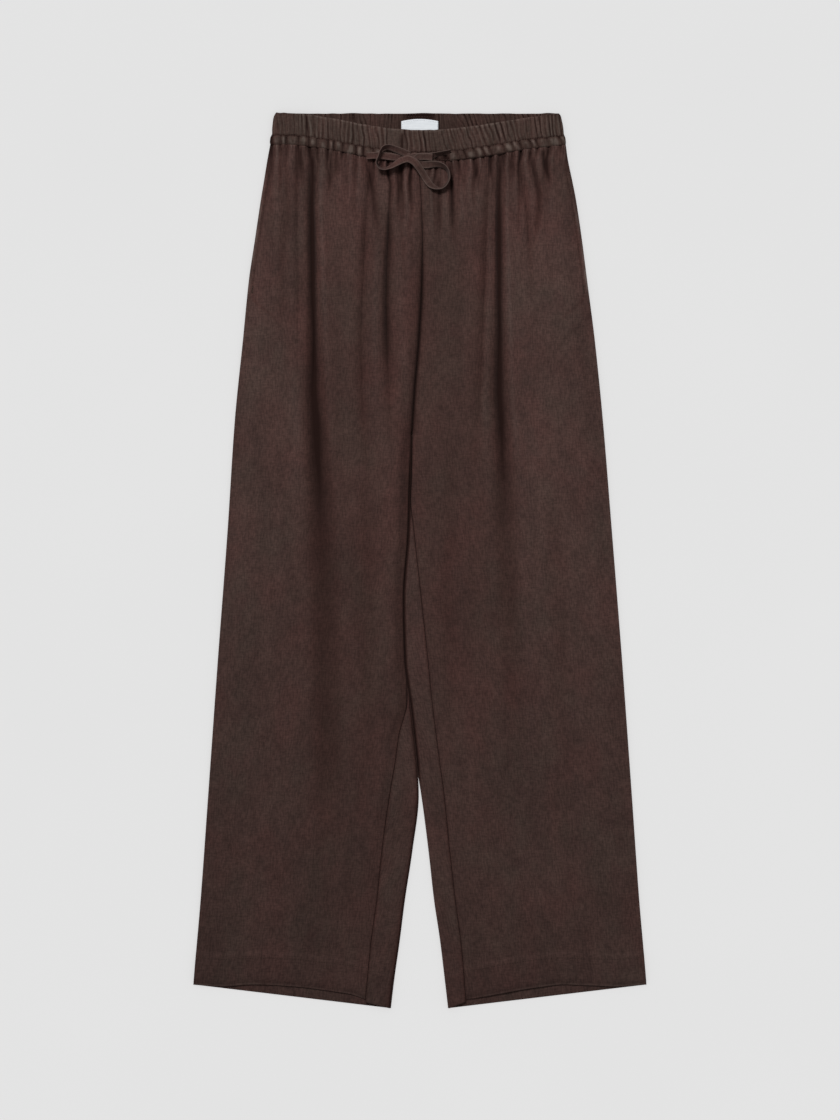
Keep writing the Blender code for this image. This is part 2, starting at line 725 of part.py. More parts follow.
def knot(name, finish):
    """The bow's knot: a rounded block, longer the way the front strand crosses it."""
    sides = KNOT["sides"]
    around = np.linspace(0, 2 * pi, sides, endpoint=False)
    turn = np.radians(KNOT["turn"])
    long = np.sign(np.cos(around)) * np.abs(np.cos(around)) ** KNOT["squareness"]
    wide = np.sign(np.sin(around)) * np.abs(np.sin(around)) ** KNOT["squareness"]
    points = []
    for level in (-1, 0, 1):
        grow = 1 - (1 - KNOT["top_share"]) * abs(level)
        x = KNOT["half_length"] * grow * long
        y = KNOT["half_width"] * grow * wide
        across = KNOT["across"] + x * np.cos(turn) - y * np.sin(turn)
        down = KNOT["down"] + x * np.sin(turn) + y * np.cos(turn)
        height = np.full(sides, KNOT["height"] + level * KNOT["half_height"])
        points.append(np.stack([across, down, height], axis=1))
    faces = [tuple(range(sides)), tuple(range(2 * sides, 3 * sides))]
    for ring in (0, sides):
        for a in range(sides):
            b = (a + 1) % sides
            faces.append((ring + a, ring + b, ring + sides + b, ring + sides + a))
    return mesh_object(name, np.concatenate(points), faces, finish)


clear_scene()
linen = material("linen_panel", (0.060, 0.031, 0.026), 0.85)
band_linen = material("linen_waistband", (0.062, 0.033, 0.028), 0.85)
bag_linen = material("linen_pocket_bag", (0.058, 0.030, 0.025), 0.9)
tape_linen = material("linen_drawstring", (0.075, 0.042, 0.036), 0.8)
label_cotton = material("cotton_label", (0.80, 0.80, 0.78), 0.7)
for leg_side in (-1, 1):
    front_panel(leg_side, linen)
    back_panel(leg_side, linen)
    pocket_bag(leg_side, bag_linen)
waistband_front(band_linen)
waistband_back(band_linen)
label(label_cotton)
tape("drawstring_loops", LOOPS, 3.2, tape_linen)
tape("drawstring_end_left", END_LEFT, 5, tape_linen)
tape("drawstring_end_right", END_RIGHT, 5, tape_linen)
tape("drawstring_exit", EXIT, 5, tape_linen)
knot("drawstring_knot", tape_linen)
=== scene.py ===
from math import pi, radians

import bpy
import numpy as np
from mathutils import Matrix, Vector


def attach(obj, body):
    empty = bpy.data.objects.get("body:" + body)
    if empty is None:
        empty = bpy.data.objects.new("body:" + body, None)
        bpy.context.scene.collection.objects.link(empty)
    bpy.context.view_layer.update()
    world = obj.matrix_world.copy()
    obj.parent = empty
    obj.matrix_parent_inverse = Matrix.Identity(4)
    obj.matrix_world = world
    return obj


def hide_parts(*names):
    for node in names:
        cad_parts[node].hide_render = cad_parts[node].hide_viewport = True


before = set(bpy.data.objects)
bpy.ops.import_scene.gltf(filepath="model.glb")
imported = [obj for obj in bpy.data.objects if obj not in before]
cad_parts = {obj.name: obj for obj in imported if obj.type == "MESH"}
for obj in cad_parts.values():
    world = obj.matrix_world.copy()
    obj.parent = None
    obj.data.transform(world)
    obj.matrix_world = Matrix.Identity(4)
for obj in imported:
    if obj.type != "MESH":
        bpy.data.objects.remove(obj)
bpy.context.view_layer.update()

# Linen drawstring trousers, laid flat with the front up. Sizes are in millimetres: "across" is the
# distance from the middle, with the wearer's right leg on the minus side, and "down" is the distance
# below the waistband's top edge. Meshes are turned to metres where they are made.
mm = 0.001
bandTop = 525.0  # the model's y at the waistband's top edge


def table(columns, *rows):
    # a short table with named columns
    return dict(zip(columns.split(), np.array(rows, float).T))


def curve(known, values, slopes, at):
    # cubic curve through values that has a given slope at each
    step = np.diff(known)
    i = np.clip(np.searchsorted(known, at) - 1, 0, len(step) - 1)
    t = np.clip((at - known[i]) / step[i], 0, 1)
    ahead = t * t * (3 - 2 * t)
    leave = t * (1 - t) ** 2 * step[i] * slopes[i]
    arrive = t * t * (t - 1) * step[i] * slopes[i + 1]
    return values[i] * (1 - ahead) + values[i + 1] * ahead + leave + arrive


def smooth(known, values, at):
    # Cubic curve through values with no overshoot between them. Its slope at each is the harmonic
    # mean of those on both sides, or 0 where they differ in sign.
    slope = np.diff(values) / np.diff(known)
    product = slope[:-1] * slope[1:]
    total = slope[:-1] + slope[1:]
    tangent = np.concatenate([slope[:1], np.zeros(len(product)), slope[-1:]])
    same = product > 0
    tangent[1:-1][same] = 2 * product[same] / total[same]
    return curve(known, values, tangent, np.asarray(at, float))


def read(rows, column, at):
    # one column of a table, as a smooth curve over its first column
    return smooth(next(iter(rows.values())), rows[column], at)


def ease(share):
    # 0 to 1 with level ends
    share = np.clip(share, 0, 1)
    return share * share * (3 - 2 * share)


def bell(distance, width):
    # 1 at no distance, and falling evenly to both sides: exp(-(distance / width)²)
    return np.exp(-(distance / width) ** 2)


def unit(vectors):
    # the same directions with a length of 1
    return vectors / np.maximum(np.linalg.norm(vectors, axis=-1, keepdims=True), 1e-9)


def lengthAlong(points):
    # how far each point lies along the line through all of them
    return np.concatenate([[0], np.cumsum(np.linalg.norm(np.diff(points, axis=0), axis=1))])


def softNoise(x, y, sizeX, sizeY, seed):
    # smooth random hills from -1 to 1: a seeded value at each corner of a grid of sizeX by sizeY,
    # eased between the corners
    corners = np.random.default_rng(seed).uniform(-1, 1, (64, 64))
    u = np.asarray(x) / sizeX + 17.3
    v = np.asarray(y) / sizeY + 11.7
    i = np.floor(u).astype(int)
    j = np.floor(v).astype(int)
    a = ease(u - i)
    b = ease(v - j)
    near = corners[i % 64, j % 64] * (1 - a) + corners[(i + 1) % 64, j % 64] * a
    far = corners[i % 64, (j + 1) % 64] * (1 - a) + corners[(i + 1) % 64, (j + 1) % 64] * a
    return near * (1 - b) + far * b


def waver(x, size, seed):
    # the same along one line
    return softNoise(x, 0 * x, size, 1, seed)


def shares(count, crowds):
    # places from 0 to 1, closer together near each (place, pull, width) of crowds
    fine = np.linspace(0, 1, 4001)
    density = np.ones_like(fine)
    for place, pull, width in crowds:
        density += pull * bell(fine - place, width)
    reached = np.concatenate([[0], np.cumsum((density[1:] + density[:-1]) / 2)])
    return np.interp(np.linspace(0, reached[-1], count), reached, fine)


trousers = {
    "cloth": 1.2,           # one layer's thickness
    "hemCloth": 1.8,        # and the turned-up hem's
    "gap": 0.3,             # between pieces that lie on each other
    "hemDepth": 35.0,
    "hemAtSide": 1022.5,    # how far down the hem lies at the side seam and at the inner fold
    "hemAtFold": 1050.0,
    "sideAtHem": 265.0,     # and how far across both are there
    "foldAtHem": 33.5,
    "crotch": 380.0,
    "riseEnd": 368.0,       # from here to the crotch the centre seam parts into the inner folds
    "overlapLift": 3.0,     # how much the left leg lifts the right one's inner edge
}
band = {
    "height": 38.3,
    "casing": 26.3,         # the part of it that holds the elastic
    "cloth": 2.4,
    "lift": 4.0,            # how high the front one lies, from "liftOver" inside its side folds
    "liftOver": 60.0,
    "droop": 20.5,          # how much lower the front one lies in the middle, and how far out that ends
    "droopReach": {-1: 166.0, 1: 196.0},
}
# outer edges of both legs
sides = table(
    "down right left",
    (36, -174.8, 171.3),
    (55, -178.3, 174),
    (79, -182.2, 179),
    (102, -186, 183.5),
    (149, -193, 190.5),
    (196, -200, 196.5),
    (266, -207, 205.5),
    (360, -216.5, 215),
    (489, -225, 225.5),
    (642, -236.5, 237.6),
    (800, -247.8, 249),
    (923, -256.7, 257.7),
    (1020, -265, 266),
    (1050, -267, 268),
)
# centre seam
centre = table(
    "down across",
    (36, -3),
    (102, 2),
    (150, 3.5),
    (196, 3),
    (266, -0.5),
    (325, -5.5),
    (380, -9),
)
# inseams and inner folds of both legs, and how much of the overlap's lift there is
inner = table(
    "down rightSeam rightFold leftFold leftSeam lift",
    (380, -9.9, -9.6, -12, -8.3, 0),
    (405, -11.1, -10.8, -13.8, -8.7, 0.5),
    (430, -12.2, -11.9, -15.5, -9.3, 1),
    (454, -12.9, -12.5, -18.3, -10.1, 1),
    (489, -13.7, -13.3, -21.5, -6.5, 1),
    (571, -19.2, -18.8, -27.5, 2.5, 1),
    (642, -17.5, -17, -24, 10, 1),
    (668, -14.8, -13.9, -20.5, 12.5, 1),
    (689, -14.6, -10.8, -17, 14.7, 1),
    (730, -24, -6, -10, 19.7, 1),
    (765, -29, -2.4, -4, 24.4, 1),
    (800, -35, -0.8, 2, 29, 1),
    (865, -44, -8.2, 10.5, 35.5, 0),
    (923, -50, -17, 17, 42, 0),
    (970, -56.5, -23, 24, 48.5, 0),
    (1020, -61.5, -30, 30, 53, 0),
    (1050, -64, -33.5, 33.5, 55, 0),
)
# the same lift by the distance from the fold
liftByDistance = table("distance share", (0, 1), (11, 1), (17, 0.7), (24, 0.3), (34, 0))
# how much shorter the front is than the back, from side seam to inseam
hemRise = table(
    "share right left",
    (0, 0, 0),
    (0.12, 1, 1),
    (0.35, 8.5, 8),
    (0.5, 11, 12),
    (0.65, 12, 11.5),
    (0.9, 11, 8.5),
    (1, 7, 7.5),
)
# air in the leg
puff = table(
    "down height",
    (45, 2.5),
    (80, 3.4),
    (110, 4.6),
    (160, 6.2),
    (300, 7.0),
    (450, 6.2),
    (650, 4.2),
    (850, 2.6),
    (960, 1.5),
    (1020, 0.8),
    (1050, 0.7),
)
# a pocket bag's two edges by their distance from the side
bag = table(
    "down near far",
    (60, 5, 112),
    (110, 5, 132),
    (205, 5, 148),
    (217, 7, 149),
    (240, 34, 148),
    (270, 62, 142),
    (300, 95, 125),
)
# side folds of the waistband by the distance below its top edge
bandEnds = table(
    "offset right left",
    (0, -168, 163.5),
    (3.5, -170.4, 165.8),
    (8, -171.6, 166.8),
    (14, -172.3, 168.1),
    (20, -172.8, 168.9),
    (24.5, -172.8, 169.3),
    (26.3, -173.4, 169.8),
    (29, -174.8, 171),
    (32, -175.3, 171.5),
    (35, -175.5, 171.7),
    (38.3, -174.4, 171),
)


def legName(side):
    # side is -1 for the wearer's right leg and 1 for the left
    return "right" if side < 0 else "left"


def droop(across):
    # how much lower a line of the front waistband lies than the back's: droop · cos² of a quarter
    # turn from the middle to where it ends
    reach = np.where(across < 0, band["droopReach"][-1], band["droopReach"][1])
    return band["droop"] * np.cos(pi / 2 * np.clip(np.abs(across) / reach, 0, 1)) ** 2


def sideLine(side, down):
    # outer edge of one leg
    return read(sides, legName(side), down)


def belowRise(down):
    # 0 down to the end of the rise and 1 from the crotch
    return ease((down - trousers["riseEnd"]) / (trousers["crotch"] - trousers["riseEnd"]))


def innerLine(kind, side, down):
    # inner fold or inseam of one leg; above the crotch both are the centre seam
    column = legName(side) + kind
    above = read(centre, "across", down)
    above = above + (inner[column][0] - above) * belowRise(down)
    return np.where(down < trousers["crotch"], above, read(inner, column, down))


def hemLine(across):
    # the back's hem, straight from side seam to inner fold
    share = (np.abs(across) - trousers["foldAtHem"]) / (trousers["sideAtHem"] - trousers["foldAtHem"])
    return trousers["hemAtFold"] + (trousers["hemAtSide"] - trousers["hemAtFold"]) * share


def clothThickness(aboveHem):
    # one layer, or the turned-up hem's two
    thicker = ease((trousers["hemDepth"] + 5 - aboveHem) / 5)
    return trousers["cloth"] + (trousers["hemCloth"] - trousers["cloth"]) * thicker


def legLift(side, down, fromFold):
    # the right leg's inner edge lies on the left leg's
    share = np.interp(fromFold, liftByDistance["distance"], liftByDistance["share"])
    return (side < 0) * trousers["overlapLift"] * share * read(inner, "lift", down)


def overBag(side, across, down):
    # 1 over a pocket bag, 0 clear of it
    fromSide = np.abs(across - sideLine(side, down))
    near = read(bag, "near", down - 20)
    far = read(bag, "far", down - 20)
    inward = np.where(near < 8, ease(fromSide / 3.5), ease((fromSide - near + 9) / 9))
    outward = ease((far + 9 - fromSide) / 9)
    top, bottom = bag["down"][[0, -1]]
    return inward * outward * ease(1 + (down - top) / 12) * ease(1 + (bottom - down) / 14)


def bandBase(across):
    # underside of the front waistband: low at the side folds, higher over the label
    fromSide = np.minimum(across - sides["right"][0], sides["left"][0] - across)
    atSide = band["cloth"] + trousers["gap"]
    return atSide + (band["lift"] - atSide) * ease(fromSide / band["liftOver"])


def linear(hexColour):
    # sRGB hex to a linear colour
    values = np.array([int(hexColour[i:i + 2], 16) for i in (1, 3, 5)]) / 255
    values = np.where(values < 0.04045, values / 12.92, ((values + 0.055) / 1.055) ** 2.4)
    return (*values, 1.0)


def meshObject(name, points, faces, material, uv=None):
    # object from points in millimetres (x, y, height) and an array of quads or triangles;
    # uv holds each point's place on the flat cloth, in metres
    mesh = bpy.data.meshes.new(name)
    sizes = faces.shape[1]
    mesh.vertices.add(len(points))
    mesh.vertices.foreach_set("co", (points * mm).astype(np.float32).ravel())
    mesh.loops.add(faces.size)
    mesh.loops.foreach_set("vertex_index", faces.astype(np.int32).ravel())
    mesh.polygons.add(len(faces))
    mesh.polygons.foreach_set("loop_start", np.arange(0, faces.size, sizes, dtype=np.int32))
    mesh.polygons.foreach_set("use_smooth", np.ones(len(faces), bool))
    if uv is not None:
        layer = mesh.uv_layers.new(name="cloth")
        layer.data.foreach_set("uv", (uv[faces.ravel()] * mm).astype(np.float32).ravel())
    mesh.update(calc_edges=True)
    mesh.validate()
    mesh.materials.append(material)
    piece = bpy.data.objects.new(name, mesh)
    bpy.context.scene.collection.objects.link(piece)
    return piece


def quads(rows, columns, closed=False):
    # corner numbers of a grid's quads, row by row; a closed grid's last column joins its first
    r = np.arange(rows - 1)[:, None]
    c = np.arange(columns if closed else columns - 1)[None, :]
    after = (c + 1) % columns
    corners = (r * columns + c, (r + 1) * columns + c, (r + 1) * columns + after, r * columns + after)
    return np.stack(np.broadcast_arrays(*corners), axis=-1).reshape(-1, 4)


def outwards(grid, facing):
    # unit normals of a grid of points: the direction square to its rows and columns
    return unit(facing * np.cross(np.gradient(grid[..., :3], axis=0), np.gradient(grid[..., :3], axis=1)))


def rolledEdge(grid, side, radius, under, facing):
    # Cloth folded under along its "bottom" row or its "first" or "last" column: a half circle round
    # the inner side, then a strip as wide as "under" that follows the cloth from below. The last
    # three numbers of a point are its place on the flat cloth and its crease value, the painted shade
    # and highlight.
    turned = grid if side == "bottom" else grid.swapaxes(0, 1)
    if side == "first":
        turned = turned[::-1]
    sign = -facing if side == "last" else facing
    normal = np.array([0, 0, 1]) * np.sign(outwards(turned[-12:], sign)[-1, :, 2:])
    edge = turned[-1]
    away = unit((edge[:, :3] - turned[-2, :, :3]) * np.array([1, 1, 0]))
    flatAway = unit(edge[:, 3:5] - turned[-2, :, 3:5])
    behind = np.linalg.norm(turned[:, :, :3] - turned[-1:, :, :3], axis=-1).mean(axis=1)
    last = len(turned) - 1
    first = np.searchsorted(-behind, -under)
    rows = np.unique(np.linspace(last - 1, first, max(3, int(under / 2.5))).astype(int))[::-1]
    normals = outwards(turned, sign)
    strip = [
        (edge[:, :3] + radius * (np.sin(angle) * away - (1 - np.cos(angle)) * normal), radius * angle)
        for angle in np.linspace(0, pi, 7)[1:]
    ]
    strip += [(turned[row, :, :3] - 2 * radius * normals[row], radius * pi + behind[row]) for row in rows]
    turned = np.concatenate([turned, np.stack([
        np.concatenate([place, edge[:, 3:5] + beyond * flatAway, edge[:, 5:]], axis=-1)
        for place, beyond in strip
    ])])
    if side == "first":
        turned = turned[::-1]
    return turned if side == "bottom" else turned.swapaxes(0, 1)


def gridObject(name, grid, material, facing=1, closed=False):
    # One piece of cloth from a grid of (x, y, height, flat across, flat down, crease). "crease" is
    # painted shade, from 0 to 1 where a point lies deep in a crease or in shade, or painted highlight
    # below 0 where it stands proud.
    faces = quads(*grid.shape[:2], closed)
    if facing < 0:
        faces = faces[:, ::-1]
    points = grid.reshape(-1, 6)
    piece = meshObject(name, points[:, :3], faces, material, points[:, 3:5])
    layer = piece.data.attributes.new("crease", "FLOAT", "POINT")
    layer.data.foreach_set("value", np.clip(points[:, 5], -1, 1).astype(np.float32))
    return piece


def clothGrid(across, down, height, flatAcross, flatDown, crease=0.0):
    # the grid that gridObject takes, from arrays of any shapes that broadcast together
    parts = np.broadcast_arrays(across, bandTop - down, height, flatAcross, flatDown, crease)
    return np.stack(parts, axis=-1)


def closedSheet(name, upper, lower, material):
    # two grids of the same size joined into one flat closed piece, its ends pinched shut
    pinched = (upper + lower) / 2
    grids = [np.concatenate([pinched[:1], pinched[:1, ::-1]], axis=1)]
    grids += [np.concatenate([upper, lower[:, ::-1]], axis=1)]
    grids += [np.concatenate([pinched[-1:], pinched[-1:, ::-1]], axis=1)]
    return gridObject(name, np.concatenate(grids), material, closed=True)


def feed(material, node, values, links):
    # values are a node's fixed values by socket, and links what feeds its other sockets: a socket, or
    # a node that gives its first output
    for socket, value in values.items():
        node.inputs[socket].default_value = value
    for socket, source in links.items():
        source = source.outputs[0] if isinstance(source, bpy.types.Node) else source
        material.node_tree.links.new(source, node.inputs[socket])
    return node


def addNode(material, kind, values={}, links={}, **settings):
    # adds a shader node of a kind, with its own options as settings
    node = material.node_tree.nodes.new("ShaderNode" + kind)
    for name, value in settings.items():
        setattr(node, name, value)
    return feed(material, node, values, links)


def newMaterial(name):
    # an empty material and its shader
    material = bpy.data.materials.new(name)
    material.use_nodes = True
    return material, material.node_tree.nodes["Principled BSDF"]


linenLook = {
    "greyBrown": "#54413b",
    "creaseShadeColour": "#1c0a06",         # painted shade: the colour painted into creases and shaded places
    "creaseShare": 0.97,            # how much of the painted shade shows in the deepest ones
    "highlightColour": "#a3938a",          # painted highlight: the grey painted where the cloth stands proud
    "highlightShare": 0.24,                 # how much of the painted highlight shows in the proudest places
    "shadeWarmth": (1.05, 0.94, 0.93),   # by how much the painted shade is redder, in red, green and blue
    "shadeWarmFrom": 0.3,                # and from which depth of painted shade it is so fully
    "roughness": 0.82,
    "sheen": 0.04,
    "threadPitch": 1.3,             # real linen has about 0.6; coarser so that it shows
    # clouds of colour: size across and along in millimetres, and the noise values between which
    # each one comes in
    "tints": {
        "#593f3a": (52.0, 90.0, 0.34, 0.66),
        "#543e39": (23.0, 34.0, 0.48, 0.72),
    },
    # thick and thin places: size across and along, the noise values between which the cloth turns
    # from dark to light, and how dark it starts
    "slubs": {
        "warp": (1.8, 9.0, 0.36, 0.60, 0.74),
        "weft": (7.0, 1.8, 0.36, 0.60, 0.80),
        "fine": (1.2, 3.6, 0.30, 0.60, 0.83),
        "worn": (13.0, 24.0, 0.30, 0.70, 0.84),
        "broad": (60.0, 120.0, 0.35, 0.65, 0.86),
    },
}
bandLook = {
    **linenLook,
    "greyBrown": "#50423b",         # the band has faded to a greyer brown
    "tints": {
        "#55403a": (52.0, 90.0, 0.34, 0.66),
        "#4e3f38": (23.0, 34.0, 0.48, 0.72),
    },
}


def wovenLinen(name, look, brightness=1.0):
    # Washed plain-weave linen: matt, with fine dark dashes down the warp, weaker ones across, soft
    # clouds of redder brown, painted shade in its creases and painted highlight where it stands proud,
    # both read from the "crease" attribute. Sizes are in millimetres on the flat cloth, so the weave
    # follows each piece.
    material, shader = newMaterial(name)
    place = addNode(material, "UVMap", uv_map="cloth")

    def lit(hexColour):
        return (*(brightness * np.array(linear(hexColour)[:3])), 1.0)

    # tints replace the colour by their own share, and slubs darken it by theirs
    colour = None
    noises = {}
    for kind, (across, along, low, high, *dark) in {**look["tints"], **look["slubs"]}.items():
        stretch = addNode(
            material, "Mapping", {"Scale": (1 / (across * mm), 1 / (along * mm), 1)}, {"Vector": place},
        )
        noises[kind] = addNode(
            material, "TexNoise", {"Scale": 1.0, "Detail": 2.0 if dark else 2.5}, {"Vector": stretch},
            noise_dimensions="2D",
        )
        share = addNode(material, "MapRange", {
            "From Min": low, "From Max": high, "To Min": dark[0] if dark else 0.0,
        }, {"Value": noises[kind]})
        if dark:
            colour = addNode(material, "VectorMath", {}, {0: colour, "Scale": share}, operation="SCALE")
        else:
            colour = addNode(
                material, "Mix", {6: lit(look["greyBrown"]), 7: lit(kind)},
                {"Factor": share, **({6: colour} if colour else {})}, data_type="RGBA",
            ).outputs[2]

    # painted shade: the colour turns redder and darker where the crease attribute is above 0, and a
    # painted highlight turns it greyer and lighter where it is below 0
    crease = addNode(material, "Attribute", attribute_name="crease").outputs["Fac"]
    warmer = addNode(material, "VectorMath", {1: look["shadeWarmth"]}, {0: colour}, operation="MULTIPLY")
    creased = {"From Max": look["shadeWarmFrom"]}
    highlighted = {"From Min": -1.0, "From Max": 0.0, "To Min": look["highlightShare"], "To Max": 0.0}
    deep = {"To Max": look["creaseShare"]}
    for settings, values, links in (
        (creased, {}, {7: warmer}),
        (highlighted, {7: linear(look["highlightColour"])}, {}),
        (deep, {7: linear(look["creaseShadeColour"])}, {}),
    ):
        share = addNode(material, "MapRange", settings, {"Value": crease})
        colour = addNode(
            material, "Mix", values, {"Factor": share, 6: colour, **links}, data_type="RGBA",
        ).outputs[2]

    # plain weave: two sets of threads, each over where the other is under, and the slubs' swelling
    turns = pi / (look["threadPitch"] * mm)
    weave = addNode(material, "Mapping", {"Scale": (turns, turns, turns)}, {"Vector": place})
    parts = addNode(material, "SeparateXYZ", {}, {0: weave})
    waves = [addNode(material, "Math", {}, {0: parts.outputs[i]}, operation="SINE") for i in (0, 1)]
    relief = addNode(material, "Math", {}, {0: waves[0], 1: waves[1]}, operation="MULTIPLY")
    for kind, swelling in (("warp", 9.0), ("weft", 6.0)):
        relief = addNode(
            material, "Math", {1: swelling}, {0: noises[kind], 2: relief}, operation="MULTIPLY_ADD",
        )
    bumped = addNode(material, "Bump", {"Strength": 0.5, "Distance": 0.03 * mm}, {"Height": relief})
    feed(material, shader, {
        "Roughness": look["roughness"], "Specular IOR Level": 0.12,
        "Sheen Weight": look["sheen"], "Sheen Roughness": 0.5,
    }, {"Base Color": colour, "Normal": bumped})
    return material


panelLinen = wovenLinen("wovenLinenPanel", linenLook)
bandLinen = wovenLinen("wovenLinenBand", bandLook, 1.02)
cordLinen = wovenLinen("wovenLinenDrawstring", linenLook, 1.03)


def sewingThread(name, shadedColour, litColour):
    # Spun polyester thread in the colour of what it sews: a little smoother than the cloth, so
    # stitches catch the light as short dashes with a fine twist.
    material, shader = newMaterial(name)
    place = addNode(material, "TexCoord").outputs["Object"]
    noise = addNode(material, "TexNoise", {"Scale": 900.0, "Detail": 1.0}, {"Vector": place})
    shade = addNode(
        material, "Mix", {6: linear(shadedColour), 7: linear(litColour)}, {"Factor": noise},
        data_type="RGBA",
    )
    twist = addNode(
        material, "TexWave", {"Scale": 1200.0, "Distortion": 1.0}, {"Vector": place},
        bands_direction="DIAGONAL",
    )
    bump = addNode(material, "Bump", {"Strength": 0.3, "Distance": 0.05 * mm}, {"Height": twist.outputs[1]})
    feed(
        material, shader, {"Roughness": 0.75, "Specular IOR Level": 0.2},
        {"Base Color": shade.outputs[2], "Normal": bump},
    )
    return material


def wovenLabelSatin():
    # White polyester satin label: smoother than the linen, with a faint rib across and a cool tone.
    material, shader = newMaterial("satinLabel")
    place = addNode(material, "UVMap", uv_map="cloth")
    stretch = addNode(material, "Mapping", {"Scale": (60, 900, 1)}, {"Vector": place})
    noise = addNode(material, "TexNoise", {"Scale": 1.0, "Detail": 2.0}, {"Vector": stretch})
    shade = addNode(
        material, "Mix", {6: linear("#c9ced3"), 7: linear("#e6e9ec")}, {"Factor": noise},
        data_type="RGBA",
    )
    bump = addNode(material, "Bump", {"Strength": 0.3, "Distance": 0.05 * mm}, {"Height": noise})
    feed(material, shader, {"Roughness": 0.55}, {"Base Color": shade.outputs[2], "Normal": bump})
    return material


threadMaterial = sewingThread("brownPolyesterThread", "#33251f", "#4e3c36")
labelThread = sewingThread("whitePolyesterThread", "#cfd2d6", "#eceef2")
labelMaterial = wovenLabelSatin()
print("materials ready")


view = {
    "across": 0.6,              # middle of the picture
    "down": 524.4,
    "pictureHeight": 1313.8,    # what the picture takes in at the cloth
    "distance": 6000.0,
    "sensor": 36.0,
}


def placeCamera():
    # straight down, from so far that the lens is nearly parallel
    camera = bpy.data.objects.new("camera", bpy.data.cameras.new("camera"))
    camera.location = (view["across"] * mm, (bandTop - view["down"]) * mm, view["distance"] * mm)
    camera.data.sensor_width = view["sensor"]
    camera.data.lens = view["sensor"] * view["distance"] / view["pictureHeight"]
    camera.data.clip_end = 50
    bpy.context.scene.collection.objects.link(camera)
    bpy.context.scene.camera = camera


placeCamera()

# "tilt" is 0 where the tape lies flat and 90 where it stands on edge
tapeColumns = "across down height tilt"
tape = {
    "width": 8.2,
    "cloth": 1.1,
    "ringPoints": 24,
    "step": 1.0,
    "square": 0.55,      # how square its section is: 1 is an oval, 0 a box
    "edgeHighlight": 0.34,   # how light the painted highlight along its stitched edges is
    "middle": 0.26,      # and how dark the painted shade down its middle is
}
loopRoute = table(
    tapeColumns,
    (-11.5, 50.2, 8.6, 0),
    (-14.5, 48.9, 9.9, 4),
    (-19.8, 46.6, 10.6, 18),
    (-28, 43.3, 10.8, 26),
    (-36, 40.8, 11.2, 40),
    (-41, 40.8, 12, 60),
    (-45.2, 45.2, 12.8, 75),
    (-48, 53, 13.2, 75),
    (-50, 59.5, 12.4, 75),
    (-48, 64.5, 11.4, 75),
    (-41.5, 66.5, 11, 70),
    (-34.5, 64.5, 11, 60),
    (-27.5, 60.5, 11.6, 40),
    (-20.5, 56.5, 12.8, 15),
    (-13.5, 55, 13, 5),
    (-6.5, 58, 13, 0),
    (-1.2, 64, 12, 0),
    (3.5, 71, 9.6, 0),
    (8.2, 78.5, 8, 5),
    (13, 85, 8.9, 30),
    (19.3, 88.7, 10.4, 60),
    (25.8, 88.9, 10.9, 75),
    (31.6, 84.5, 10.9, 75),
    (34.8, 76.3, 10.9, 75),
    (33.4, 68.6, 10.9, 70),
    (28.7, 63.4, 10.9, 55),
    (21.7, 60.8, 10.4, 35),
    (13.5, 60.8, 9.2, 12),
    (7.2, 61.4, 8.8, 4),
    (0.5, 59.8, 9.0, 0),
    (-3.6, 56, 9.6, 0),
    (-2.0, 52.6, 10.4, 0),
    (2.2, 52, 10.6, 0),
    (8, 52.2, 10.6, 0),
    (15.3, 52.6, 10.5, 0),
)
freeEndRoute = table(
    tapeColumns,
    (36.5, 46.2, 8.2, 45),
    (24, 48.2, 9.0, 58),
    (12, 51, 8.6, 20),
    (2.7, 51.6, 8.2, 0),
    (-8, 52.4, 8.2, 0),
    (-16, 52.8, 8.2, 0),
    (-22.8, 53, 8.2, 0),
    (-30, 52.4, 8.2, 0),
    (-43, 50.8, 8.2, 0),
    (-62, 50.6, 8.2, 0),
)


def flowing(route, step):
    # points a step apart along a round curve through a route's rows, with the tape's tilt at each
    rows = np.stack([route["across"], bandTop - route["down"], route["height"], route["tilt"]], axis=1)
    known = lengthAlong(rows[:, :3])
    slopes = np.gradient(rows, known, axis=0)
    at = np.linspace(0, known[-1], round(known[-1] / step) + 1)
    return np.stack([curve(known, rows[:, i], slopes[:, i], at) for i in range(4)], axis=1)


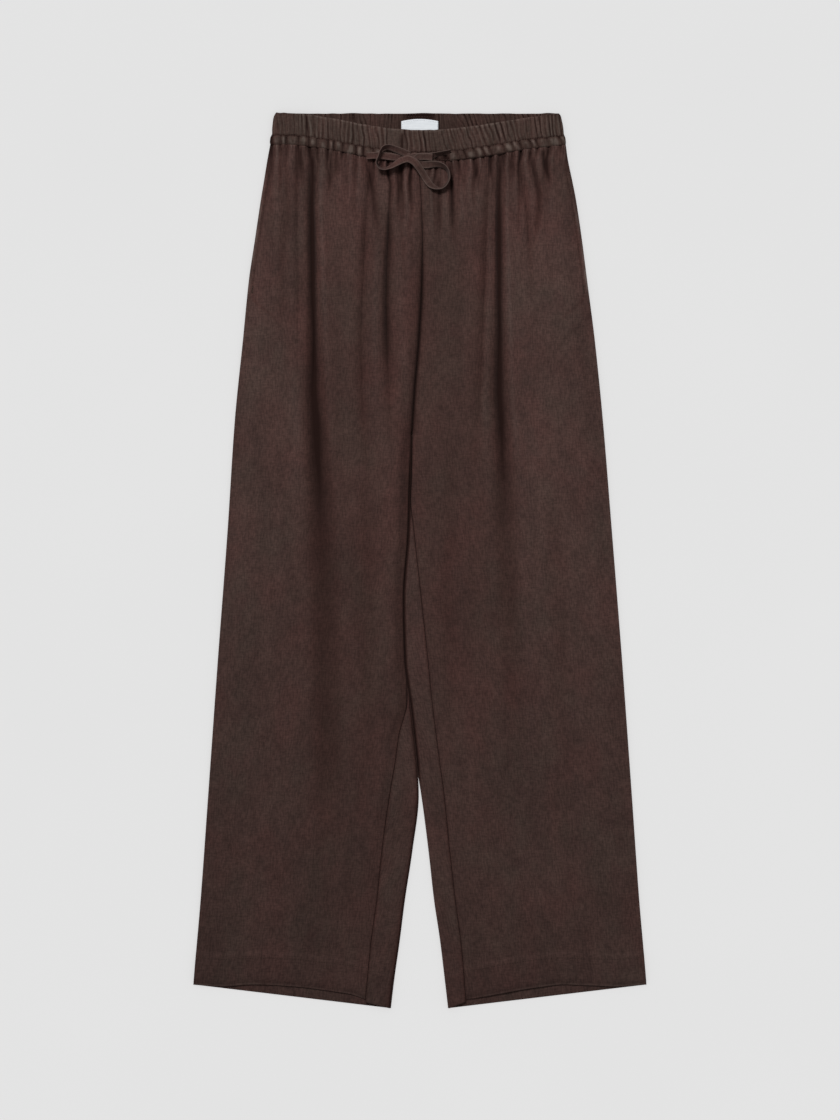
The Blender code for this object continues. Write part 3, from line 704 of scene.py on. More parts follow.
def makeTape(name, route):
    # A flat oval carried along the route. Its two edges are fatter, where the tape is stitched, and
    # it cups a little. Both ends are cut square and closed.
    path = flowing(route, tape["step"])
    along = lengthAlong(path[:, :3])
    tangent = unit(np.gradient(path[:, :3], axis=0))
    aside = unit(np.stack([-tangent[:, 1], tangent[:, 0], np.zeros(len(path))], axis=1))
    normal = np.cross(tangent, aside)
    tilt = -np.radians(path[:, 3])[:, None]
    wide = np.cos(tilt) * aside + np.sin(tilt) * normal
    thick = np.cos(tilt) * normal - np.sin(tilt) * aside
    around = np.linspace(2 * pi, 0, tape["ringPoints"], endpoint=False)
    x = np.sign(np.cos(around)) * np.abs(np.cos(around)) ** tape["square"]
    y = np.sign(np.sin(around)) * np.abs(np.sin(around)) ** tape["square"]
    fat = 1 + 0.35 * bell(np.abs(x) - 0.82, 0.16)[None, :]
    ripple = 0.12 * np.sin(along / 2.1)[:, None] * np.abs(x)[None, :]
    cup = 0.35 * (x ** 2 - 0.4)[None, :]
    sideways = tape["width"] / 2 * x[None, :] * (1 + 0.03 * np.sin(along / 5.3)[:, None])
    upwards = tape["cloth"] / 2 * y[None, :] * fat + ripple + cup
    rings = path[:, None, :3] + wide[:, None] * sideways[..., None] + thick[:, None] * upwards[..., None]
    squeeze = np.array([0.0, 0.5, 0.85])[:, None, None]
    start = path[0, :3] + (rings[0] - path[0, :3]) * squeeze
    finish = path[-1, :3] + (rings[-1] - path[-1, :3]) * squeeze[::-1]
    rings = np.concatenate([start, rings, finish])
    flatAcross = tape["width"] / 2 * x + 30 * (y > 0)
    flatDown = np.concatenate([np.zeros(3), along, np.full(3, along[-1])])[:, None]
    # painted shade down the tape's middle and painted highlight along its stitched edges
    worn = tape["middle"] * (1 - np.abs(x)) - tape["edgeHighlight"] * bell(np.abs(x) - 0.9, 0.16)
    grid = clothGrid(rings[..., 0], bandTop - rings[..., 1], rings[..., 2], flatAcross, flatDown, worn)
    return gridObject(name, grid, cordLinen, closed=True), path[:, :3] * mm, along[-1] * mm


loops, loopPath, loopLength = makeTape("drawstringLoops", loopRoute)
freeEnd, freeEndPath, freeEndLength = makeTape("drawstringFreeEnd", freeEndRoute)
print("drawstring made, metres:", round(loopLength, 3), round(freeEndLength, 3))

knot = {
    "across": -8.8,
    "down": 54.5,
    "height": 9.4,
    "halfLength": 10.6,
    "halfWidth": 5.0,
    "halfHeight": 1.9,
    "turn": 36.0,          # degrees from across towards down
    "turnsOfTape": 3.2,    # how far the wraps wind round it
    "rings": 40,
    "ringPoints": 72,
}


def makeKnot():
    # A flattened ball of tape: an ellipsoid stretched along the strand that crosses it. Its radius
    # has ridges that wind round it like the wraps of tape inside a bow's knot.
    theta = np.linspace(0, pi, knot["rings"])[:, None]
    phi = np.linspace(0, 2 * pi, knot["ringPoints"], endpoint=False)[None, :]
    wraps = np.abs(np.sin(knot["turnsOfTape"] * theta + 0.5 * np.sin(phi) + 0.4)) ** 0.5
    grow = 0.86 + 0.14 * wraps + 0.03 * np.sin(3 * phi + 2 * theta)
    x = knot["halfLength"] * np.cos(theta) * grow
    y = knot["halfWidth"] * np.sin(theta) * np.cos(phi) * grow
    z = knot["halfHeight"] * np.sin(theta) * np.sign(np.sin(phi)) * np.abs(np.sin(phi)) ** 0.7 * grow
    turn = -radians(knot["turn"])
    across = knot["across"] + x * np.cos(turn) - y * np.sin(turn)
    down = knot["down"] - x * np.sin(turn) - y * np.cos(turn)
    grid = clothGrid(across, down, knot["height"] + z, theta * 12, phi * 5)
    return gridObject("drawstringKnot", grid, cordLinen, closed=True)


knotPiece = makeKnot()

# Main creases of the fronts. Each runs from "start" to "finish" down the leg, "width" is its
# half width, "grow" how much wider it ends, "lean" how much gentler its outer (-) or inner (+)
# flank is, "paintedShade" how much painted shade it has, and "rise" how far it takes to come in.
wideCrease = 6.0   # the half width above which a crease has a round bottom
creaseColumns = "start finish acrossStart acrossMiddle acrossFinish width grow depth lean dye rise"
creases = {
    "right": table(
        creaseColumns,
        (36, 560, -125.4, -123, -111, 3.8, 1.6, 7.5, -0.5, 1.1, 9),
        (230, 980, -124, -111, -107, 21, 0.3, 4.2, 0.1, 0.45, 190),
        (36, 390, -144, -141.5, -146, 5.9, 0.6, 3.2, 0.2, 0.3, 9),
        (60, 340, -152, -158, -150, 8.0, 0.6, 2.0, 0, 0.15, 60),
        (45, 105, -105.5, -104.5, -105, 3.2, 0.8, 2.4, 0, 0.65, 8),
        (42, 82, -97.5, -96, -94.5, 3.0, 0.8, 2.2, 0, 0.7, 6),
        (40, 98, -140, -138, -136.5, 3.0, 0.8, 2.4, 0, 0.7, 8),
        (50, 170, -63.5, -52, -45, 4.0, 0.6, 3.4, 0.3, 0.7, 12),
        (60, 135, -25.5, -24.5, -25, 3.0, 0.8, 2.2, 0, 0.65, 12),
        (62, 120, -10.5, -9.5, -9, 3.0, 0.8, 2.0, 0, 0.6, 12),
        (42, 500, -56.5, -67, -56, 4.5, 1.2, 3.4, -0.2, 0.3, 9),
        (70, 400, -34, -38.5, -31, 4.4, 0.9, 6.4, 0.2, 0.75, 95),
        (400, 900, -62, -60, -66, 15, 0.5, 1.6, 0, 0.12, 90),
        (40, 110, -86, -84, -83, 3.5, 0.8, 1.8, 0.2, 0.15, 9),
        (42, 100, -72, -73, -74, 3.2, 0.8, 1.6, -0.2, 0.15, 9),
        (52, 120, -22, -21, -20, 3.2, 0.8, 1.8, 0, 0.15, 9),
        (36, 100, -158, -160, -163, 3.2, 0.8, 1.8, 0, 0.15, 9),
    ),
    "left": table(
        creaseColumns,
        (42, 520, 94.4, 94.2, 104, 3.3, 1.6, 7.2, -0.3, 1.1, 9),
        (190, 860, 91, 104, 114, 17, 0.5, 3.0, 0, 0.34, 160),
        (44, 470, 82.7, 74.8, 64, 4.2, 1.4, 3.2, -0.4, 0.34, 9),
        (46, 165, 36.6, 38.2, 41.5, 3.4, 0.8, 4.4, 0, 0.85, 9),
        (72, 155, 22, 24, 25.5, 3.2, 0.8, 2.4, 0, 0.6, 14),
        (40, 240, 120, 128, 134, 3.5, 1.0, 2.6, 0.2, 0.25, 9),
        (42, 170, 128.5, 140, 131.5, 3.4, 0.9, 3.4, 0.2, 0.75, 8),
        (46, 98, 61.5, 67, 72, 3.2, 0.8, 3.0, 0.2, 0.8, 7),
        (42, 92, 145.5, 149, 153, 3.2, 0.8, 2.6, 0.2, 0.75, 7),
        (42, 86, 109.5, 110.5, 112, 3.0, 0.8, 2.4, 0, 0.7, 7),
        (420, 960, 160, 166, 172, 18, 0.4, 1.2, 0, 0.1, 110),
        (360, 800, 40, 36, 44, 12, 0.6, 1.2, 0, 0.1, 90),
        (40, 120, 118, 120, 122, 3.2, 0.8, 2.2, 0, 0.2, 9),
        (44, 120, 64, 65.5, 66, 3.4, 0.8, 2.0, 0, 0.2, 9),
        (38, 110, 146, 147, 148, 3.2, 0.8, 1.8, 0, 0.15, 9),
        (46, 110, 50, 52, 53, 3.2, 0.8, 1.6, 0, 0.15, 9),
        (42, 100, 106, 107, 108, 3.0, 0.8, 1.6, 0, 0.15, 9),
        (36, 90, 157, 160, 163, 3.0, 0.8, 1.6, 0, 0.15, 9),
    ),
}


def creaseLine(values, number, down):
    # where one crease runs: a curve through its three places, wandering a little
    start, finish, *places = values[:5]
    line = smooth(np.array([start, (start + finish) / 2, finish]), np.array(places), down)
    return line + 0.9 * waver(down, 38, 40 + number)


def creaseDepth(rows, across, down):
    # Every crease is a valley, depth · (1 - d / w)^1.3 at a distance d from its line, with a shallow
    # hollow of depth · 0.15 · exp(-(d / 2.5w)²) round it. It comes in, widens and fades as it runs
    # down. Its painted shade is paintedShade · (0.75 · exp(-(1.4 d / w + 0.25)²) + 0.3 · exp(-d / w)),
    # less a painted highlight of 0.2 · exp(-((d / w - 2.1) / 0.6)²) on the cloth beside it. A wide
    # crease has a round bottom, cos² of half a turn across it, and the same for its painted shade.
    # Gives both sums.
    total = np.zeros(np.broadcast(across, down).shape)
    paintedShading = np.zeros_like(total)
    for number, values in enumerate(zip(*rows.values())):
        start, finish, _, _, _, width, grow, depth, lean, paintedShade, rise = values
        run = (down - start) / (finish - start)
        away = across - creaseLine(values, number, down)
        half = width * (1 + grow * np.clip(run, 0, 1)) * (1 + np.abs(lean) * (away * lean > 0))
        away = np.abs(away) / half
        fade = np.where(run < 0, 0, 1 - ease(run) ** 3) * ease((down - start) / rise)
        fade = fade * (1 + 0.2 * waver(down, 55, 70 + number))
        if width > wideCrease:
            shape = colour = np.cos(pi / 2 * np.clip(away, 0, 1)) ** 2
        else:
            shape = np.clip(1 - away, 0, 1) ** 1.3 + 0.15 * bell(away, 2.5)
            colour = 0.75 * bell(1.4 * away + 0.25, 1) + 0.3 * np.exp(-away) - 0.2 * bell(away - 2.1, 0.6)
        total += depth * fade * shape
        paintedShading += paintedShade * fade * colour
    return total, paintedShading


def towardsCreases(rows, across, down):
    # draws columns of points together near sharp creases: across - 0.6 · d · exp(-(d / 9)²)
    moved = across
    for number, values in enumerate(zip(*rows.values())):
        start, finish, _, _, _, width, _, depth, *_ = values
        away = across - creaseLine(values, number, down)
        pull = 0.6 * ease((depth - 1) / 2) * (width < wideCrease)
        pull = pull * ease((finish + 60 - down) / 60) * ease(np.minimum(1, (down + 60 - start) / 60))
        moved = moved - pull * away * bell(away, 9)
    return moved


# places of the tunnel's creases across the band, about 10.9 mm apart
pucker = np.arange(33)
puckers = -174.3 + 10.87 * (pucker + 0.2 * np.sin(2.3 * pucker) + 0.16 * np.sin(5.1 * pucker + 1))


def uneven(number, spread, seed):
    # a different size for each numbered gather, the same every time
    values = np.random.default_rng(seed).uniform(1 - spread, 1 + spread, 256)
    return values[np.asarray(number).astype(int) % 256]


def pillows(across, places):
    # Rounded pillows between neighbouring places, 0 at a place and 1 halfway: sin(pi · share).
    # Also gives each point's pillow number and that of the nearest place.
    number = np.clip(np.searchsorted(places, across) - 1, 0, len(places) - 2)
    share = np.clip((across - places[number]) / (places[number + 1] - places[number]), 0, 1)
    return np.sin(pi * share), number, number + (share > 0.5)


front = {
    "columns": 200,
    "rows": 400,
    "edge": 0.6,            # radius of an edge turned under at a seam
    "under": 3.0,
    "hemEdge": 0.7,
    "hemSink": 1.5,         # how much lower the front lies at its hem
    "seamGap": 0.15,
    "gatherDepth": 3.2,     # gathers below the waistband: their depth, how far down they reach, how dark their valleys' painted shade is and how light their crowns' painted highlight
    "gatherLength": 26.0,   # how dark their valleys are and how light their crowns
    "gatherShade": 0.85,
    "gatherHighlight": 0.19,
    "finePitch": 4.9,       # finer gathers between them
    "fineDepth": 1.2,
    "fineLength": 10.0,
    "pullPitch": 2.9,       # small puckers along a gathered seam
    "sideRound": 26.0,      # how far in from its side seam the leg is rounded
    "bandHold": 16.0,       # how far down the waistband holds the cloth
    "bandShade": 0.2,         # how much painted shade lies below the waistband, and how far down
    "bandShadeLength": 70.0,
    "middleShade": 0.14,      # how much more painted shade the middle of the trousers has
    # soft hills all over worn cloth: height, lean, size across and along, the finest a few mm long
    "hills": ((0.7, 0, 46, 120), (0.3, 0.1, 15, 34), (0.11, -0.15, 6.5, 15), (0.05, 0, 3.1, 6)),
    "extraPuff": 1.5,       # more air under the waist gathers than in the plain leg
    # where the fronts lie over the inseam as a dark line, by side
    "inseamShade": {-1: 705.0, 1: 462.0},
}
pocketMouth = {
    "top": 68.0,
    "bottom": 214.0,
    "stitches": 5.2,        # row of stitches along the mouth
    # how far in the rim's painted highlight lies and how light it is, by side, at places down the mouth
    "rimDown": (79, 155),
    "rim": {-1: (1.6, 1.6), 1: (3.8, 1.4)},
    "highlightDown": (79, 140, 190),
    "worn": {-1: (0.6, 0.6, 0.6), 1: (0.4, 1.0, 1.2)},
    "tackTop": 203.0,       # the tack at the mouth's lower end: where it starts, its length, and its
    "tackLength": 9.0,      # two ends' distance from the side
    "tack": (2.0, 7.0),
}


def crinkles(across, down, seed):
    # all sizes of the hills, added up
    return sum(
        high * softNoise(across + lean * down, down, wide, long, seed + i)
        for i, (high, lean, wide, long) in enumerate(front["hills"])
    )


def threadPulls(across, seed):
    # small puckers along a gathered seam: |sin(pi · across / pitch)|, wandering a little
    return np.abs(np.sin(pi * across / front["pullPitch"] + 2 * waver(across, 8, seed)))


def waistGathers(across, down, belowSeam):
    # Gathers below the waistband: one under each crease of the tunnel and finer ones between them,
    # all fading down the leg as exp(-below / length). Gives their depth and their colour: painted shade
    # in their valleys and painted highlight on their crowns, with more of both just below the waist seam.
    wander = 2.8 * softNoise(across, down, 24, 26, 7) + 0.9 * softNoise(across, down, 9, 12, 17)
    wander = wander * np.clip(belowSeam / 16, 0, 1)
    pillow, number, nearest = pillows(across + wander, puckers)
    size = uneven(nearest, 0.75, 6)
    length = front["gatherLength"] * uneven(nearest, 0.8, 5)
    fade = np.exp(-belowSeam / length) * ease(belowSeam / 2 + 0.5)
    shift = 3 * softNoise(across, down, 26, 40, 8)
    finer = np.abs(np.sin(pi * (across + wander) / front["finePitch"] + shift))
    fineFade = np.exp(-belowSeam / (front["fineLength"] + 5 * waver(across, 13, 18))) * ease(belowSeam / 2)
    depth = front["gatherDepth"] * size * (0.75 - pillow ** 0.75) * fade
    depth = depth + front["fineDepth"] * (0.65 - finer ** 0.8) * fineFade
    colour = front["gatherShade"] * size * (1 - pillow) ** 1.5 * fade
    colour = colour - front["gatherHighlight"] * uneven(number, 0.95, 4) * pillow ** 4 * fade
    colour = colour + (0.5 * (1 - finer) ** 1.5 - 0.2 * finer ** 6) * fineFade
    return depth, colour + (0.2 - 0.6 * threadPulls(across, 19) ** 3) * bell(belowSeam - 2.4, 1.6)


def seamShade(side, down, fromSeam, dip):
    # painted shade along the centre seam, and below the crotch a finer line of it along the inseam
    rise = dip * (np.exp(-(fromSeam / 1.9) ** 1.5) + 0.25 * np.exp(-fromSeam / 6))
    inseam = np.exp(-fromSeam / 0.8) * (0.6 + 0.35 * ease((front["inseamShade"][side] - down) / 25))
    inseam = inseam + (side < 0) * 0.32 * np.exp(-fromSeam / 6) * ease((760 - down) / 60)
    return rise + (inseam - rise) * ease((down - trousers["crotch"] + 12) / 16)


def pocketMarks(side, across, down, fromSide):
    # how strong the light rim of a pocket's mouth is, a painted highlight with a slight lift, and the
    # groove of its stitches and the crease over the lower edge of its bag, both sunk and with painted shade
    mouth = ease((down - pocketMouth["top"]) / 8) * ease((pocketMouth["bottom"] - down) / 6)
    rim = np.interp(down, pocketMouth["rimDown"], pocketMouth["rim"][side])
    worn = bell(fromSide - rim, 1.1) * mouth * (0.5 + 0.5 * softNoise(across, down, 5, 11, 27))
    worn = worn * np.interp(down, pocketMouth["highlightDown"], pocketMouth["worn"][side])
    groove = bell(fromSide - pocketMouth["stitches"], 1.0) * mouth
    overEdge = bell(fromSide - read(bag, "near", down), 2.2)
    overEdge = overEdge * ease((down - 211) / 5) * ease((252 - down) / 22)
    return worn, groove, overEdge


def frontAir(side, across, down, belowSeam):
    # Height of the front above the layers under it: the leg's puff, rounded at the side seam and
    # dipping at the centre one, less its creases. Also gives each point's crease value: painted shade
    # in creases, gathers and seams, below the waistband and over the middle, and painted highlight on
    # pocket rims, gathers' crowns and beside creases.
    fromSide = np.abs(across - sideLine(side, down))
    fromSeam = np.abs(across - innerLine("Seam", side, down))
    dip = 0.35 + 0.65 * ease((down - 90) / 150)
    sharp = 0.6 * np.exp(-fromSeam / 3.0) + 0.4 * bell(fromSeam, 9)
    soft = 1 - ease(fromSeam / 15)
    atSeam = sharp + (soft - sharp) * ease((down - 350) / 60)
    air = read(puff, "height", down) + front["extraPuff"] * ease((180 - down) / 80)
    air = air * ease(fromSide / front["sideRound"]) ** 0.8 * (1 - dip * atSeam)
    atBand = bandBase(across) - trousers["cloth"] + 0.6
    air = air + (atBand - air) * bell(belowSeam, front["bandHold"])
    nearBand = np.clip(0.35 + belowSeam / 30, 0, 1)
    depth, crease = creaseDepth(creases[legName(side)], across, down)
    gathers, gathersColour = waistGathers(across, down, belowSeam)
    worn, groove, overEdge = pocketMarks(side, across, down, fromSide)
    depth = depth * nearBand + gathers + 0.35 * groove + 0.4 * overEdge - 0.5 * worn
    crease = crease * nearBand + gathersColour + seamShade(side, down, fromSeam, dip)
    crease = crease - worn + 0.3 * groove + 0.22 * overEdge
    # painted shade below the waistband, and more over the middle of the trousers, less towards the hems
    crease = crease + front["bandShade"] * np.exp(-belowSeam / front["bandShadeLength"])
    middle = ease((150 - np.abs(across + 22)) / 60) * ease((down - 60) / 160)
    crease = crease + front["middleShade"] * middle * (1 - 0.7 * ease((down - 620) / 260))
    calm = ease(fromSide / 8) * ease(fromSeam / 8)
    return air - depth + crinkles(across, down, 11 + side) * calm, crease


def frontGrid(side):
    # Places of a front's points, closer together at its edges, its sharpest creases and its hem. Gives
    # across, down, and the distances below the waist seam and above the hem.
    sharpest = (127, 40) if side < 0 else (92, 35)
    share = shares(front["columns"], [
        (0.0, 1.5, 0.03), (1.0, 2.2, 0.03),
        (1 - sharpest[0] / 210, 1.6, 0.035), (1 - sharpest[1] / 210, 1.0, 0.04),
    ])[None, :]
    fall = shares(front["rows"], [(0.0, 2.5, 0.05), (0.97, 0.8, 0.03), (1.0, 3.0, 0.006)])[:, None]

    def place(down):
        outside = sideLine(side, down) - side * front["edge"]
        inside = innerLine("Seam", side, down) + side * (front["edge"] + front["seamGap"])
        return outside + (inside - outside) * share

    # the waist seam follows the band's droop, which depends on how far across a point is
    waist = np.full(share.shape, 50.0)
    for _ in range(4):
        waist = band["height"] - 1.2 + droop(place(waist))
    rise = read(hemRise, legName(side), share)
    hem = hemLine(place(np.full(share.shape, 1030.0))) - rise - front["hemEdge"]
    down = waist + (hem - waist) * fall
    across = towardsCreases(creases[legName(side)], place(down), down)
    across[:, [0, -1]] = place(down)[:, [0, -1]]
    return across, down, down - waist, hem - down


def turnedUnder(grid, facing):
    # a panel with its hem turned up and its two long edges turned under at the seams
    grid = rolledEdge(grid, "bottom", front["hemEdge"], trousers["hemDepth"] - 1, facing)
    grid = rolledEdge(grid, "first", front["edge"], front["under"], facing)
    return rolledEdge(grid, "last", front["edge"], front["under"], facing)


def makeFront(side):
    # One sheet from waist seam to hem. Its top face is two layers of cloth, the bag's room, the air
    # in the leg and the lift over the other leg, added up; the waist end dips behind the band.
    across, down, belowSeam, aboveHem = frontGrid(side)
    thick = clothThickness(aboveHem + front["hemEdge"])
    fromFold = np.abs(across - innerLine("Fold", side, down))
    fromSide = np.abs(across - sideLine(side, down))
    air, crease = frontAir(side, across, down, belowSeam)
    air = (air + np.sqrt(air ** 2 + 0.2)) / 2 - front["hemSink"] * bell(aboveHem, 4)
    # a painted highlight along the hem's folded edge, uneven along it
    hemHighlight = 0.6 + 0.4 * softNoise(across, down, 7, 9, 28)
    crease = crease - 0.25 * hemHighlight * bell(aboveHem - 0.6, 1.1)
    hemDip = 0.12 * bell(aboveHem - trousers["hemDepth"], 1.2)
    bagRoom = 1.4 * overBag(side, across, down) * ease((65 - fromSide) / 45)
    layers = 2 * thick + trousers["gap"] + bagRoom
    height = layers + air + legLift(side, down, fromFold) - hemDip - 0.35 * np.exp(-belowSeam / 1.1)
    # the flat cloth's threads follow the side seam below the crotch
    flatAcross = across - side * 0.075 * np.maximum(down - trousers["crotch"], 0)
    grid = clothGrid(across, down, height, flatAcross, down, crease)
    name = "front" + legName(side).title() + "Cloth"
    return gridObject(name, turnedUnder(grid, -side), panelLinen, -side)


fronts = {side: makeFront(side) for side in (-1, 1)}
print("fronts made")

back = {
    "flatColumns": 70,
    "turnColumns": 9,
    "stripColumns": 26,
    "rows": 380,
    "crease": 0.5,          # how much of the front's creases the back takes on
    "stripBulge": 0.9,
    "seamRidge": 0.22,      # where the seam's turnings thicken the strip's edge
    "seamAside": -2.6,      # the back's centre seam lies a little beside the front's
    "beside": 0.95,         # how far the sheet starts from the fold's line
}


def makeBack(side):
    # One sheet: flat on the floor from the side seam to the inner fold, a half turn round the fold,
    # then a strip on top as far as the inseam. Above the crotch the turn and the strip lie close
    # together beside the centre seam. Columns run over "share" of the flat part, "turn" of the half
    # turn, and "along" the strip.
    flatCount, turnCount, stripCount = back["flatColumns"], back["turnColumns"], back["stripColumns"]
    beside = back["beside"]
    share = np.r_[np.linspace(1, 0, flatCount), np.zeros(turnCount + stripCount)][None, :]
    turn = np.r_[np.zeros(flatCount), np.linspace(0, 1, turnCount + 1)[1:], np.ones(stripCount)][None, :]
    along = np.r_[np.zeros(flatCount + turnCount), np.linspace(0, 1, stripCount + 1)[1:]][None, :]
    distance = np.r_[np.full(flatCount, beside), np.linspace(beside, 0, turnCount + stripCount + 1)[1:]]
    distance = distance[None, :]
    fall = shares(back["rows"], [(0.34, 1.0, 0.02), (0.97, 0.8, 0.03)])[:, None]
    hemAcross = trousers["foldAtHem"] + distance + share * (trousers["sideAtHem"] - trousers["foldAtHem"])
    hem = hemLine(hemAcross) - hemRise[legName(side)][-1] * along - front["hemEdge"]
    waist = band["height"] + trousers["gap"]
    down = waist + (hem - waist) * fall
    aboveHem = hem - down
    folded = belowRise(down)
    fold = innerLine("Fold", side, down) + back["seamAside"] * (1 - folded)
    seam = innerLine("Seam", side, down) - side * (front["seamGap"] + front["edge"])
    outside = np.abs(sideLine(side, down) - fold) - front["edge"]
    tuck = 1 - ease((np.abs(seam - fold) - 1.6) / 3)
    radius = (clothThickness(aboveHem + front["hemEdge"]) + front["seamGap"]) * (1 - 0.5 * tuck)
    stripWidth = np.maximum(np.abs(seam - fold), radius + 1.2)
    folded = folded * (distance < beside)
    flat = distance + front["edge"] * (1 - folded) + share * (outside - distance - front["edge"])
    angle = pi * turn
    curl = radius - radius * np.sin(angle) + (stripWidth - radius) * along
    across = fold + side * (flat + (curl - flat) * folded)
    height = radius * (1 - np.cos(angle)) * folded + legLift(side, down, flat)

    # wrinkles of the flat part, and of the strip with the ridge along its seam
    wrinkles = crinkles(across, down, 31 + side)
    wrinkles = wrinkles + 0.6 * creaseDepth(creases[legName(side)], across, down)[0]
    below = np.clip(back["crease"] * wrinkles, 0, 0.8) * ease((flat - 12) / 12) * (1 - folded)
    below = below * ease((outside - flat) / 10)
    bulge = np.sin(pi * np.clip(along, 0, 1)) ** 0.6
    toSeam = (1 - along) * stripWidth
    onTop = (back["stripBulge"] + 0.35 * crinkles(across, down, 35 + side)) * bulge
    ragged = 1 + 0.6 * softNoise(across, down, 6, 9, 37)
    onTop = onTop + back["seamRidge"] * ragged * np.exp(-toSeam / 1.3)
    height = height + below + np.maximum(onTop * folded * (1 - tuck), 0)

    # painted shadow beside the fold, where the legs lie on each other, and painted shade along the seam
    if side < 0:
        crease = folded * np.exp(-radius * (pi - angle) / 1.5) * np.exp(-along * stripWidth / 1.6)
    else:
        fromRight = np.maximum(across - innerLine("Fold", -1, down), 0)
        crease = folded * (angle > 3) * (1 - ease((fromRight - 1.2) / 2.4)) * (1 - ease((down - 790) / 22))
    crease = crease + 0.4 * folded * (angle > 3) * (1 - tuck) * np.exp(-toSeam / 0.9)

    unrolled = outside - flat + (radius * angle + stripWidth * along) * folded
    grid = turnedUnder(clothGrid(across, down, height, side * (unrolled + 40), down, crease), side)
    grid[..., 2] = np.maximum(grid[..., 2], 0)
    return gridObject("back" + legName(side).title() + "Cloth", grid, panelLinen, side)


backs = {side: makeBack(side) for side in (-1, 1)}
print("backs made")

bandCloth = {
    "columns": 880,
    "faceRows": 34,
    "topEdge": 1.2,
    "lowEdge": 0.8,
    "sideEdge": 1.6,
    "gathered": 1.4,         # how much longer the flat cloth is than the band
    "casingPitch": 5.4,
    "finePitch": 2.9,        # finer gathers between those of the casing
    "casingRelief": 1.25,
    "tunnelRelief": 2.8,
    "seamGroove": 0.5,
    "backRelief": 1.2,
    "crownLight": 0.62,      # how light the painted highlight on the pillows' crowns gets at most
    "rimLight": 0.45,        # how light the painted highlight along the upper edge is
    "seamLineShade": 0.62,         # how dark the painted shade in the seam between casing and tunnel is
    "stitchRow": 4.6,        # how far below the back's top edge its stitches run
    "shownFrom": 6.5,        # the droop from which they show
    # places across the band
    "smoothFrom": -39.0,     # a stretch of casing with hardly any gathers, and where it ends
    "smoothTo": -20.5,
    "deepFold": -20.2,
    "longFold": -131.5,
    "backFold": -78.6,
    "bow": -4.0,             # the bow's middle, and how far from it the tunnel is flatter
    "bowReach": 46.0,
    "tapeShadowFrom": 18.0,        # where the painted shadow under the tape, beside where it goes into the tunnel, starts and ends
    "tapeShadowTo": 36.5,
}


def casingGathers(across, offset, seed):
    # Fine gathers of the elastic casing: rounded ridges, |sin|^0.6, with narrow cracks between,
    # unevenly spaced and deep, and leaning more towards the wearer's left. Gives their height and
    # their crease value: painted shade in the cracks and painted highlight on the ridges.
    pitch = bandCloth["casingPitch"]
    lean = 0.05 + 0.3 * ease((across + 20) / 80) * (1 - 0.6 * ease((across - 95) / 40))
    lean = lean + 0.12 * waver(across, 16, seed + 6)
    place = across - lean * (offset - 13) + 2.6 * softNoise(across, offset, 19, 90, seed)
    place = place + 1.5 * softNoise(across, offset, 7, 13, seed + 1)
    ridges = np.abs(np.sin(pi * place / pitch))
    shift = 1.3 + softNoise(across, offset, 9, 12, seed + 4)
    finer = np.abs(np.sin(pi * place / bandCloth["finePitch"] + shift))
    strength = uneven(np.floor(place / pitch + 100.5), 0.75, seed + 5)
    strength = strength * np.clip(0.95 + 0.6 * softNoise(across, offset, 9, 11, seed + 2), 0.35, 2)
    strength = strength * (1 - 0.55 * ease((-138 - across) / 12))
    wrinkle = 0.25 * softNoise(across, offset, 3.5, 5, seed + 3)
    height = strength * (ridges ** 0.6 - 0.7) + 0.3 * (finer ** 0.7 - 0.6) + wrinkle
    sharp = 0.4 + 0.5 * bell(across - 12, 36) + 0.25 * ease((across - 30) / 40)
    crack = 1.1 * sharp * strength * (1 - ridges) ** 2.8 + 0.35 * (1 - finer) ** 2
    return height * (0.6 + 0.5 * sharp), crack - 0.22 * ridges ** 4 * strength + 0.06


def casingRelief(across, offset):
    # the front's casing: its gathers, with one smooth stretch left of a deep fold, a fold that runs
    # on into the tunnel, and a painted highlight along its upper edge; its folds, and its top edge near
    # the band's ends, get painted shade
    smoothPart = ease((across - bandCloth["smoothFrom"]) / 3) * ease((bandCloth["smoothTo"] - across) / 2)
    gathers, crease = casingGathers(across, offset, 61)
    fold = np.exp(-np.abs(across - bandCloth["deepFold"]) / 1.3) * ease((offset - 3) / 5)
    longFold = 0.7 * np.exp(-np.abs(across - bandCloth["longFold"] + 0.05 * offset) / 1.2)
    relief = bandCloth["casingRelief"] * gathers * (1 - 0.85 * smoothPart) - 1.6 * fold - 1.2 * longFold
    relief = relief * np.sin(pi * np.clip((offset + 3) / (band["casing"] + 3), 0, 1)) ** 0.35
    rim = bell(offset - 1.4, 0.9) * (0.55 + 0.5 * softNoise(across, offset, 2.4, 9, 96))
    free = ease((152 - np.abs(across)) / 25)
    crease = crease * (1 - 0.85 * smoothPart) + 1.2 * fold
    crease = crease - bandCloth["rimLight"] * rim * free + 0.6 * np.exp(-offset / 1.5) * (1 - free)
    return relief, crease, longFold


